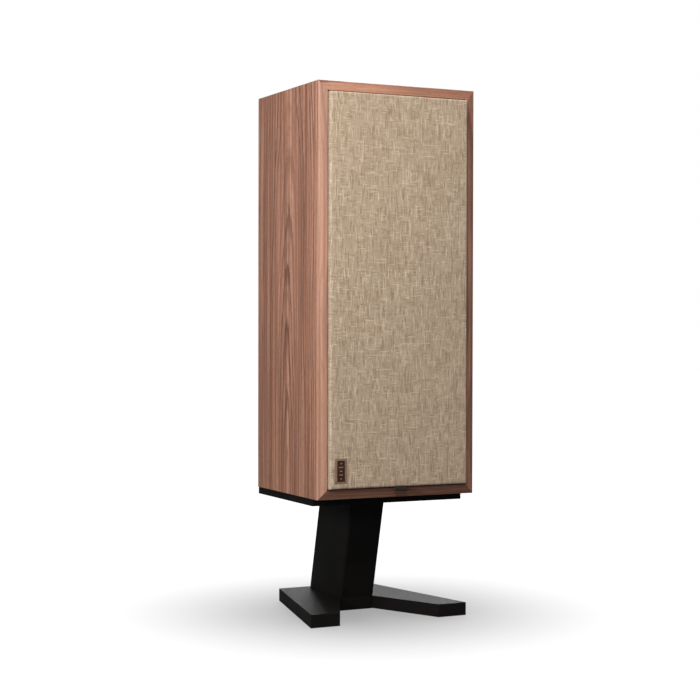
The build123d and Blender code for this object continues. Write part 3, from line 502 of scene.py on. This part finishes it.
# ---------------------------------------------------------------- mesh helpers
SMOOTH_TO = math.radians(38)            # a sharper edge than this keeps its crease
CLOTH_SMOOTH_TO = math.radians(60)


def piece(name, vertices, faces, body, slot, finish=None, sharp=SMOOTH_TO):
    """A mesh object in the row frame that rides on a body and has one finish."""
    data = bpy.data.meshes.new(name)
    data.from_pydata([tuple(v) for v in vertices], [], faces)
    return settle(name, data, body, slot, finish, sharp)


def settle(name, data, body, slot, finish=None, sharp=SMOOTH_TO):
    """The object for a mesh, put on its body if one is given."""
    data.validate()
    data.shade_smooth()
    data.set_sharp_from_angle(angle=sharp)
    made = bpy.data.objects.new(name, data)
    bpy.context.scene.collection.objects.link(made)
    data.materials.append(finish or MATERIALS[slot])
    if body:
        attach(made, body)
    return made


def tube(rings, count, looped=False):
    """Faces between successive rings of count points; looped joins the last ring to the first."""
    faces = []
    for row in range(rings if looped else rings - 1):
        start, below = row * count, (row + 1) % rings * count
        for k in range(count):
            after = (k + 1) % count
            faces.append((start + k, start + after, below + after, below + k))
    return faces


def box_middle(low, high):
    """The (x, z) middle of a box."""
    return (low.x + high.x) / 2, (low.z + high.z) / 2


def along_axis(edge):
    """Whether an edge runs along one of the three axes."""
    run = edge.verts[1].co - edge.verts[0].co
    return max(abs(value) for value in run) > 0.98 * run.length


SAME_PLACE = 1e-6
SAME_PLANE = math.radians(0.5)
SHORTEST_EASED = 4 * MM


def eased(node, name, width, finish=None, mitred=False):
    """Stands for a CAD node: its own shape with the long sharp edges rounded over.

    A mitred board keeps its slanting edges crisp, so that the mitres close. The modifier
    keeps flat faces flat in the shading where the small bevels meet them.
    """
    source = NODES[node]
    slot = source.material_slots[0].name
    shape = bmesh.new()
    shape.from_mesh(source.data)
    bmesh.ops.remove_doubles(shape, verts=shape.verts, dist=SAME_PLACE)
    bmesh.ops.dissolve_limit(shape, angle_limit=SAME_PLANE, verts=shape.verts, edges=shape.edges)
    sharp = [
        edge for edge in shape.edges
        if edge.is_manifold and edge.calc_face_angle() > SMOOTH_TO
        and edge.calc_length() > SHORTEST_EASED and (along_axis(edge) or not mitred)
    ]
    bmesh.ops.bevel(
        shape, geom=sharp, offset=width, segments=2, profile=0.5, affect="EDGES", clamp_overlap=True
    )
    data = bpy.data.meshes.new(name)
    shape.to_mesh(data)
    shape.free()
    for leftover in ("custom_normal", "sharp_face", "sharp_edge"):
        if leftover in data.attributes:
            data.attributes.remove(data.attributes[leftover])
    data.materials.clear()
    made = settle(name, data, source["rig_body"], slot, finish)
    made.modifiers.new("even_faces", "WEIGHTED_NORMAL").keep_sharp = True
    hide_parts(node)


# ---------------------------------------------------------------- cabinet and stand
X, Y, Z = 0, 1, 2
left_low, left_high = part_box("cabinet_left_side")
SIDE_OUT = -left_low.x      # the cabinet's half width
SIDE_MID_Y = (left_low.y + left_high.y) / 2
CABINET_FOOT = left_low.z
EDGE = 0.9 * MM
STAND_EDGE = 1.2 * MM

# Each board has its own piece of veneer: axes across, along and through it, then the figure's middle, its
# heart's depth and growth, and the tone and share of the painted light on its front edge band: a painted
# sheen on the left side, painted shade on the right side and bottom.
BOARDS = {
    "left_side": (Y, Z, X, SIDE_MID_Y - 6 * MM, SIDE_OUT - 18 * MM, 0.080, WOOD_PAINTED_SHEEN, 0.30),
    "right_side": (Y, Z, X, SIDE_MID_Y + 22 * MM, -10 * MM - SIDE_OUT, 0.075, WOOD_DARK, 0.25),
    "top": (Y, X, Z, SIDE_MID_Y + 10 * MM, 36 * MM - CAD_BOX[1][2], 0.090, WOOD_MIDDLE, 0.20),
    "bottom": (Y, X, Z, SIDE_MID_Y - 20 * MM, 30 * MM - CABINET_FOOT, 0.085, WOOD_DEEP, 0.62),
}
for board, veneer in BOARDS.items():
    finish = walnut("walnut_" + board.removesuffix("_side"), *veneer)
    eased("cabinet_" + board, board + "_board", EDGE, finish, mitred=True)
eased("back_panel", "back_board", EDGE)
eased("front_baffle", "baffle_board", EDGE)
eased("stand_base", "base_fork", STAND_EDGE)
eased("stand_column", "leaning_column", STAND_EDGE)
eased("stand_top_plate", "carrier_plate", 1.0 * MM)
eased("terminal_plate", "terminal_panel", 0.4 * MM)


# ---------------------------------------------------------------- grille cloth
cloth_low, cloth_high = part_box("grille_cloth")
FRAME_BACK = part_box("grille_frame")[1].y
CLOTH_ROUND = 4.2 * MM      # radius of the cloth over the frame's front edges
BACK_ROUND = 1.0 * MM       # and over its back edges
CORNER_PULL = 0.8           # 0 leaves the front's corners round, 1 makes them square
CLOTH_THICK = 0.4 * MM
TURN_IN = 12 * MM           # cloth glued down behind the frame
GRID = 3 * MM
QUARTER = math.radians(90)


def wrap_path():
    """How the cloth leaves the flat front: (length along the cloth, outward, Y) points."""
    path = []
    for step in range(1, 7):
        angle = QUARTER * step / 6
        outward = CLOTH_ROUND * math.sin(angle)
        path.append((CLOTH_ROUND * angle, outward, cloth_low.y + CLOTH_ROUND * (1 - math.cos(angle))))
    back = FRAME_BACK + CLOTH_THICK
    length, _, start = path[-1]
    for share in (0.25, 0.5, 0.75, 1.0):
        run = (back - BACK_ROUND - start) * share
        path.append((length + run, CLOTH_ROUND, start + run))
    length = path[-1][0]
    for step in (1, 2, 3):
        angle = QUARTER * step / 3
        outward = CLOTH_ROUND - BACK_ROUND * (1 - math.cos(angle))
        path.append((length + BACK_ROUND * angle, outward, back - BACK_ROUND + BACK_ROUND * math.sin(angle)))
    length, outward, _ = path[-1]
    for share in (0.3, 0.65, 1.0):
        path.append((length + TURN_IN * share, outward - TURN_IN * share, back))
    return path


def grille_cloth():
    """One cloth: a grid over the front, then rings round the edges and in behind the frame."""
    half_w = (cloth_high.x - cloth_low.x) / 2 - CLOTH_ROUND
    low, high = cloth_low.z + CLOTH_ROUND, cloth_high.z - CLOTH_ROUND
    columns = round(2 * half_w / GRID)
    rows = round((high - low) / GRID)
    xs = [-half_w + 2 * half_w * i / columns for i in range(columns + 1)]
    zs = [low + (high - low) * j / rows for j in range(rows + 1)]
    points, flats, faces = [], [], []

    def add(x, y, z, u, v):
        points.append((x, y, z))
        flats.append((u, v))
        return len(points) - 1

    grid = [[add(x, cloth_low.y, z, x, z) for x in xs] for z in zs]
    for j in range(rows):
        for i in range(columns):
            faces.append((grid[j][i], grid[j][i + 1], grid[j + 1][i + 1], grid[j + 1][i]))

    # The front's outline, anticlockwise seen from the front, with a fan of directions at each corner.
    outline = []
    sides = [
        ([grid[0][i] for i in range(columns + 1)], -90),
        ([grid[j][columns] for j in range(rows + 1)], 0),
        ([grid[rows][i] for i in range(columns, -1, -1)], 90),
        ([grid[j][0] for j in range(rows, -1, -1)], 180),
    ]
    for run, facing in sides:
        outline += [(index, facing) for index in run]
        outline += [(run[-1], facing + turn) for turn in (22.5, 45.0, 67.5)]
    previous = [index for index, _ in outline]
    for length, outward, y in wrap_path():
        ring = []
        for index, facing in outline:
            x, _, z = points[index]
            across, up = math.cos(math.radians(facing)), math.sin(math.radians(facing))
            if outward > 0:     # round the frame, and not yet in behind it
                squareness = max(abs(across), abs(up)) ** CORNER_PULL
                across, up = across / squareness, up / squareness
            ring.append(add(x + across * outward, y, z + up * outward,
                            x + across * length, z + up * length))
        for k in range(len(ring)):
            after = (k + 1) % len(ring)
            corners = [previous[k], ring[k], ring[after], previous[after]]
            faces.append(tuple(dict.fromkeys(corners)))
        previous = ring
    made = piece("grille_linen_cover", points, faces, "grille", "grille_linen", sharp=CLOTH_SMOOTH_TO)
    layer = made.data.uv_layers.new(name="flat")
    for loop in made.data.loops:
        layer.data[loop.index].uv = flats[loop.vertex_index]
    thick = made.modifiers.new("cloth_thickness", "SOLIDIFY")
    thick.thickness = CLOTH_THICK
    thick.offset = -1.0
    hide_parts("grille_cloth")


grille_cloth()


# ---------------------------------------------------------------- badge and pull tab
CORNER_POINTS = 5


def slab(low, high, front, back, rounding):
    """Vertices and faces of an upright plate whose front edges are rounded; low and high are (x, z)."""
    points = []
    layers = [
        (0.0, back), (0.0, front + rounding), (0.3 * rounding, front + 0.3 * rounding), (rounding, front)
    ]
    corners = (
        (high[0], high[1], 1, 1), (low[0], high[1], -1, 1), (low[0], low[1], -1, -1), (high[0], low[1], 1, -1)
    )
    for inset, y in layers:
        radius = max(rounding * 1.6 - inset, 0.05 * MM)
        for quarter, (x, z, side_x, side_z) in enumerate(corners):
            for step in range(CORNER_POINTS):
                angle = math.radians(90 * (quarter + step / (CORNER_POINTS - 1)))
                points.append((
                    x - side_x * (inset + radius) + radius * math.cos(angle), y,
                    z - side_z * (inset + radius) + radius * math.sin(angle),
                ))
    count = 4 * CORNER_POINTS
    faces = tube(len(layers), count)
    faces.append(tuple(range(count)))
    faces.append(tuple(reversed(range((len(layers) - 1) * count, len(layers) * count))))
    return points, faces


def join(parts):
    """One list of vertices and faces from several."""
    points, faces = [], []
    for more_points, more_faces in parts:
        start = len(points)
        points += more_points
        faces += [tuple(start + index for index in face) for face in more_faces]
    return points, faces


BADGE_BORDER = 5.0 * MM     # of the pale plate that shows round the patch
PLATE_SUNK = 0.8 * MM       # each layer's front behind the front of the bars
PATCH_SUNK = 0.3 * MM
BAR_LEVELS = (0.35, 0.8, 0.55, 0.95, 0.45)
BAR_HALF = 1.1 * MM


def badge():
    """A pale plate that carries a dark tooled patch with plain level bars on it."""
    low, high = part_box("grille_badge")
    middle_x, _ = box_middle(low, high)
    backing = slab((low.x, low.z), (high.x, high.z), low.y + PLATE_SUNK, high.y, 0.6 * MM)
    plate = piece("badge_backing", *backing, "grille", "badge_leather", BADGE_PALE)
    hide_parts("grille_badge")
    side, end = BADGE_BORDER, BADGE_BORDER * 0.8
    patch = slab((low.x + side, low.z + end), (high.x - side, high.z - end),
                 low.y + PATCH_SUNK, low.y + PLATE_SUNK + 0.2 * MM, 0.4 * MM)
    piece("badge_patch", *patch, "grille", "badge_leather")
    bars = []
    pitch = (high.z - low.z - 4 * BADGE_BORDER) / (len(BAR_LEVELS) - 1)
    for index, level in enumerate(BAR_LEVELS):
        z = low.z + 2 * BADGE_BORDER + pitch * index
        reach = level * (high.x - low.x - 3.4 * BADGE_BORDER) / 2
        bars.append(slab((middle_x - reach, z - BAR_HALF), (middle_x + reach, z + BAR_HALF),
                         low.y, low.y + 0.5 * MM, 0.25 * MM))
    piece("badge_bars", *join(bars), "grille", "badge_leather", BADGE_BARS)


badge()


def ribbon(path, normals, width, thickness):
    """A flat strap along a path in the YZ plane, with rounded selvages."""
    points = []
    half = width / 2
    round_off = thickness / 2
    section = []
    for step in range(5):
        angle = math.radians(-90 + 45 * step)
        section.append((half - round_off + round_off * math.cos(angle), round_off * math.sin(angle)))
    section += [(-x, n) for x, n in reversed(section)]
    count = len(section)
    for (y, z), (ny, nz) in zip(path, normals):
        points += [(x, y + ny * n, z + nz * n) for x, n in section]
    faces = tube(len(path), count)
    faces.append(tuple(reversed(range(count))))
    faces.append(tuple(range((len(path) - 1) * count, len(path) * count)))
    return points, faces


WEBBING_THICK = 0.6 * MM
WEBBING_APART = 0.42 * MM   # each layer's middle from the middle of the doubled strip
TAB_STEPS = 24
TACK_STITCHES = 7


def pull_tab():
    """A doubled strip of webbing: out from under the cloth, a soft drop, and back under itself."""
    low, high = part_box("grille_pull_tab")
    outer = high.z - 0.4 * MM
    drop = high.z - low.z - 1.9 * MM
    bend_start = cloth_low.y + 4 * MM
    spine = []
    for step in range(TAB_STEPS + 1):
        y = high.y + (low.y + 0.75 * MM - high.y) * (step / TAB_STEPS)
        fall = max(0.0, (bend_start - y) / (bend_start - low.y))
        spine.append((y, outer - WEBBING_APART - drop * fall ** 1.6))
    slopes = []
    for index in range(len(spine)):
        before, after = spine[max(index - 1, 0)], spine[min(index + 1, len(spine) - 1)]
        slopes.append(Vector((after[0] - before[0], after[1] - before[1])).normalized())

    # Out along the upper layer, round the fold at the tip, and back along the lower layer.
    path = [(y + s.y * WEBBING_APART, z - s.x * WEBBING_APART) for (y, z), s in zip(spine, slopes)]
    normals = [(s.y, -s.x) for s in slopes]
    tip, run = Vector(spine[-1]), slopes[-1]
    for step in range(1, 6):
        angle = math.radians(180) * step / 6
        out = Vector((run.y, -run.x)) * math.cos(angle) + run * math.sin(angle)
        path.append(tuple(tip + out * WEBBING_APART))
        normals.append(tuple(out))
    for (y, z), s in reversed(list(zip(spine, slopes))):
        path.append((y - s.y * WEBBING_APART, z + s.x * WEBBING_APART))
        normals.append((-s.y, s.x))
    strip = ribbon(path, normals, high.x - low.x, WEBBING_THICK)
    tab = piece("pull_tab_webbing", *strip, "grille", "tab_webbing", sharp=CLOTH_SMOOTH_TO)
    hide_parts("grille_pull_tab")

    # A bar tack near the right selvage: short red stitches over the doubled webbing.
    stitches = []
    x = high.x - 4 * MM
    for index in range(TACK_STITCHES):
        share = 0.72 + 0.035 * index
        y = high.y + (low.y - high.y) * share
        z = spine[round(share * TAB_STEPS)][1] + 0.85 * MM
        stitches.append(slab((x - 1.8 * MM, z - 0.3 * MM), (x + 1.8 * MM, z + 0.25 * MM),
                             y, y + 0.45 * MM, 0.12 * MM))
    piece("pull_tab_stitches", *join(stitches), "grille", "tab_webbing", TACK_THREAD)


pull_tab()


# ---------------------------------------------------------------- terminal caps
CAP_BORE = 4.1 * MM         # radius, round the stud
FLUTES = 20
FLUTE_POINTS = 6
FLUTE_DEPTH = 0.45 * MM


def terminal_cap(colour):
    """A fluted binding-post cap round the CAD cap's bore and length."""
    node = "terminal_cap_" + colour
    low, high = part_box(node)
    centre_x, centre_z = box_middle(low, high)
    radius = (high.x - low.x) / 2
    count = FLUTES * FLUTE_POINTS
    # Each ring: radius, Y, and how deep the flutes are there.
    rings = [
        (CAP_BORE, low.y, 0.0),
        (radius - 1.2 * MM, low.y, 0.0),
        (radius - 0.2 * MM, low.y + 1.0 * MM, 0.0),
        (radius - 0.2 * MM, low.y + 2.5 * MM, 0.0),
        (radius, low.y + 3.2 * MM, FLUTE_DEPTH),
        (radius, high.y - 2.0 * MM, FLUTE_DEPTH),
        (radius - 0.5 * MM, high.y - 1.2 * MM, 0.1 * MM),
        (radius - 1.6 * MM, high.y, 0.0),
        (CAP_BORE, high.y, 0.0),
    ]
    points = []
    for ring_radius, y, depth in rings:
        for k in range(count):
            angle = 2 * math.pi * k / count
            wave = depth * (0.5 - 0.5 * math.cos(2 * math.pi * k / FLUTE_POINTS))
            points.append((centre_x + (ring_radius - wave) * math.cos(angle), y,
                           centre_z + (ring_radius - wave) * math.sin(angle)))
    faces = tube(len(rings), count, looped=True)
    made = piece(node + "_fluted", points, faces, colour + "_cap", NODES[node].material_slots[0].name)
    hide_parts(node)


for colour in ("red", "black"):
    terminal_cap(colour)


# ---------------------------------------------------------------- soft suspensions
SECTORS = 12
STEPS = 5       # facets across each sector
ROLL_STEPS = 8  # facets over a surround's half roll


def suspension(driver, part, profile):
    """A ring in sectors, each a closed piece of its own that is put on no body.

    profile is the closed section as (radius, Y).
    """
    node = driver + "_" + part
    centre_x, centre_z = box_middle(*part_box(node))
    centre = Vector((centre_x, 0.0, centre_z))
    half = math.pi / SECTORS
    size = len(profile)
    for sector in range(SECTORS):
        middle = 2 * half * sector
        points = []
        for step in range(STEPS + 1):
            angle = middle - half + 2 * half * step / STEPS
            points += [centre + Vector((r * math.cos(angle), y, r * math.sin(angle))) for r, y in profile]
        faces = [(a, d, c, b) for a, b, c, d in tube(STEPS + 1, size)]
        faces.append(tuple(range(size)))
        faces.append(tuple(reversed(range(STEPS * size, (STEPS + 1) * size))))
        made = piece(f"{node}_{sector + 1:02d}", points, faces, None, NODES[node].material_slots[0].name)
        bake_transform(made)
        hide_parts(node)


def half_roll(inner, outer, lip, crown, thick):
    """Section of a half-roll surround between two flat lips whose front is at Y lip."""
    middle, radius = (inner + outer) / 2, (outer - inner) / 2
    front, back = [], []
    for step in range(ROLL_STEPS + 1):
        angle = math.radians(180) * step / ROLL_STEPS
        for line, reach in ((front, radius), (back, radius - thick)):
            line.append((middle - reach * math.cos(angle), lip - crown / radius * reach * math.sin(angle)))
    return front, back


def woven_rolls(inner, outer, middle_y, swing, rolls):
    """The line of a spider's corrugations, as (radius, Y)."""
    line = []
    steps = rolls * 4
    for step in range(steps + 1):
        share = step / steps
        y = middle_y - swing * math.sin(math.pi * 2 * rolls * share)
        line.append((inner + (outer - inner) * share, y))
    return line


def closed(front, back):
    """One closed section from its two sides."""
    return front + list(reversed(back))


def half_width(node):
    """Half of a CAD node's width in X."""
    low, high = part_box(node)
    return (high.x - low.x) / 2


WOOFER_OUTER = 119.5 * MM   # the woofer's surround; the sizes below are for it
LIP = 3.3 * MM              # of the surround on the cone's rim
ROLL_START = 0.3 * MM       # inside the rim
FLAT_LIP = 5.1 * MM         # of the surround on the basket
ROLL_CROWN = 7.2 * MM
RUBBER_THICK = 0.8 * MM
SPIDER_THICK = 0.6 * MM
COIL_OVERLAP = 0.8 * MM     # of the spider on the voice coil
COLLAR = 3.6 * MM           # flat ring inside the spider's rolls
SPIDER_LIP = 5 * MM         # and outside them
SPIDER_SWING = 1.6 * MM
SPIDER_ROLLS = 5

for driver in ("woofer", "midrange"):
    outer = half_width(driver + "_surround")
    rim = half_width(driver + "_cone")
    scale = outer / WOOFER_OUTER        # the drivers share one section at two sizes
    lip_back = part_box(driver + "_surround")[1].y
    thick = RUBBER_THICK * scale
    roll_in, roll_out = rim - ROLL_START * scale, outer - FLAT_LIP * scale
    front, back = half_roll(roll_in, roll_out, lip_back - thick, ROLL_CROWN * scale, thick)
    front = [(rim - LIP * scale, lip_back - thick)] + front + [(outer, lip_back - thick)]
    back = [(rim - LIP * scale, lip_back)] + back + [(outer, lip_back)]
    suspension(driver, "surround", closed(front, back))

    spider_low, spider_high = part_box(driver + "_spider")
    neck = half_width(driver + "_voice_coil") - COIL_OVERLAP * scale
    rest = half_width(driver + "_spider")
    rolls_in, rolls_out = neck + COLLAR * scale, rest - SPIDER_LIP * scale
    flat_y = (spider_low.y + spider_high.y) / 2
    rolls = woven_rolls(rolls_in, rolls_out, flat_y, SPIDER_SWING * scale, SPIDER_ROLLS)
    front = [(neck, flat_y)] + rolls + [(rest, flat_y)]
    back = [(radius, y + SPIDER_THICK * scale) for radius, y in front]
    suspension(driver, "spider", closed(front, back))


# ---------------------------------------------------------------- finishes of the CAD nodes that stay
for node in NODES.values():
    if not node.hide_render:
        for held in node.material_slots:
            held.material = MATERIALS[held.name]


# ---------------------------------------------------------------- floor, light and camera
WHITE = (1, 1, 1, 1)
FLOOR_HALF = 14.0
FLOOR_BOUNCE = (0.12, 0.12, 0.12, 1)    # the floor's own colour, which lights the object from below
FLOOR_SEEN = (0.09, 0.09, 0.09, 1)      # its share of the light and shadow that the camera sees
GLOW_IN_PAINTED_SHADOW = 0.34       # glow added to that at the stand's foot, where it paints a shadow; it grows to white away from it
SHADOW_REACH = 0.34     # from the foot to where half of the glow is back
AMBIENT = 0.22
CAMERA_AT = (-1.5429, -3.1297, 0.6188)
CAMERA_TURN = (25.848, -0.8595, 0.1129)     # degrees of yaw, pitch and roll
CAMERA_LENS = 82.988                        # on a sensor 36 wide


def floor():
    """A plain white floor, with a painted shadow that makes it a little darker round the stand's foot."""
    size = FLOOR_HALF
    data = bpy.data.meshes.new("studio_floor")
    corners = [(-size, -size, 0), (size, -size, 0), (size, size, 0), (-size, size, 0)]
    data.from_pydata(corners, [], [(0, 1, 2, 3)])
    made = bpy.data.objects.new("studio_floor", data)
    bpy.context.scene.collection.objects.link(made)
    finish = Finish("pale_floor")
    camera_ray = finish.node("ShaderNodeLightPath").outputs["Is Camera Ray"]
    x, y, _ = finish.parts(finish.place)
    away = finish.math("SQRT", finish.math("MULTIPLY_ADD", x, x, finish.math("MULTIPLY", y, y)))
    steps_out = finish.math("DIVIDE", away, SHADOW_REACH)
    # Painted shadow round the foot: the glow to the camera is dimmed near it.
    painted_shadow = finish.math("POWER", 0.5, finish.math("POWER", steps_out, 2.0))
    light = finish.math("SUBTRACT", 1.0, painted_shadow)
    glow_with_painted_shadow = finish.math("MULTIPLY_ADD", light, 1.0 - GLOW_IN_PAINTED_SHADOW, GLOW_IN_PAINTED_SHADOW)
    finish.surface(
        Base_Color=finish.mix(camera_ray, FLOOR_BOUNCE, FLOOR_SEEN),
        Roughness=0.9,
        Specular_IOR_Level=0.1,
        Emission_Color=WHITE,
        Emission_Strength=finish.math("MULTIPLY", camera_ray, glow_with_painted_shadow),
    )
    data.materials.append(finish.material)


def softbox(name, at, towards, size, power, warmth=1.0):
    """A rectangular light; warmth below 1 takes away green and more of the blue."""
    light = bpy.data.lights.new(name, "AREA")
    light.shape = "RECTANGLE"
    light.size, light.size_y = size
    light.energy = power
    light.color = (1.0, warmth, warmth * warmth)
    made = bpy.data.objects.new(name, light)
    made.location = at
    made.rotation_euler = (Vector(towards) - Vector(at)).to_track_quat("-Z", "Y").to_euler()
    bpy.context.scene.collection.objects.link(made)


def surroundings():
    """White to the camera, and a soft grey light from all sides for everything else."""
    world = bpy.data.worlds.new("studio")
    bpy.context.scene.world = world
    world.use_nodes = True
    tree = world.node_tree
    tree.nodes.clear()
    path = tree.nodes.new("ShaderNodeLightPath")
    choice = tree.nodes.new("ShaderNodeMixShader")
    output = tree.nodes.new("ShaderNodeOutputWorld")
    tree.links.new(path.outputs["Is Camera Ray"], choice.inputs[0])
    for slot, strength in ((1, AMBIENT), (2, 1.0)):
        background = tree.nodes.new("ShaderNodeBackground")
        background.inputs["Color"].default_value = WHITE
        background.inputs["Strength"].default_value = strength
        tree.links.new(background.outputs[0], choice.inputs[slot])
    tree.links.new(choice.outputs[0], output.inputs["Surface"])


def camera():
    """The camera, placed and turned as the one that saw the loudspeaker from its left front."""
    yaw, pitch, roll = (math.radians(angle) for angle in CAMERA_TURN)
    ahead = Vector((math.sin(yaw) * math.cos(pitch), math.cos(yaw) * math.cos(pitch), math.sin(pitch)))
    level = Vector((math.cos(yaw), -math.sin(yaw), 0.0))
    above = level.cross(ahead)
    right = level * math.cos(roll) + above * math.sin(roll)
    up = above * math.cos(roll) - level * math.sin(roll)
    lens = bpy.data.cameras.new("photo_camera")
    lens.lens = CAMERA_LENS
    lens.sensor_width = 36.0
    made = bpy.data.objects.new("photo_camera", lens)
    turn = Matrix((right, up, -ahead)).transposed().to_4x4()
    made.matrix_world = Matrix.Translation(CAMERA_AT) @ turn
    bpy.context.scene.collection.objects.link(made)
    bpy.context.scene.camera = made


floor()
surroundings()
softbox("key", (-0.9, -1.5, 1.65), (0.0, -0.1, 1.0), (0.6, 0.6), 22.5, 0.975)
softbox("left", (-1.8, -0.95, 0.8), (0.0, 0.0, 0.75), (0.5, 0.5), 18.5)
softbox("top", (0.0, 0.0, 3.4), (0.0, 0.0, 0.0), (3.2, 3.2), 88.0)
softbox("back", (1.8, 3.0, 2.0), (0.0, 0.0, 0.7), (1.6, 1.6), 60.0)
camera()
bpy.context.scene.view_settings.view_transform = "Standard"
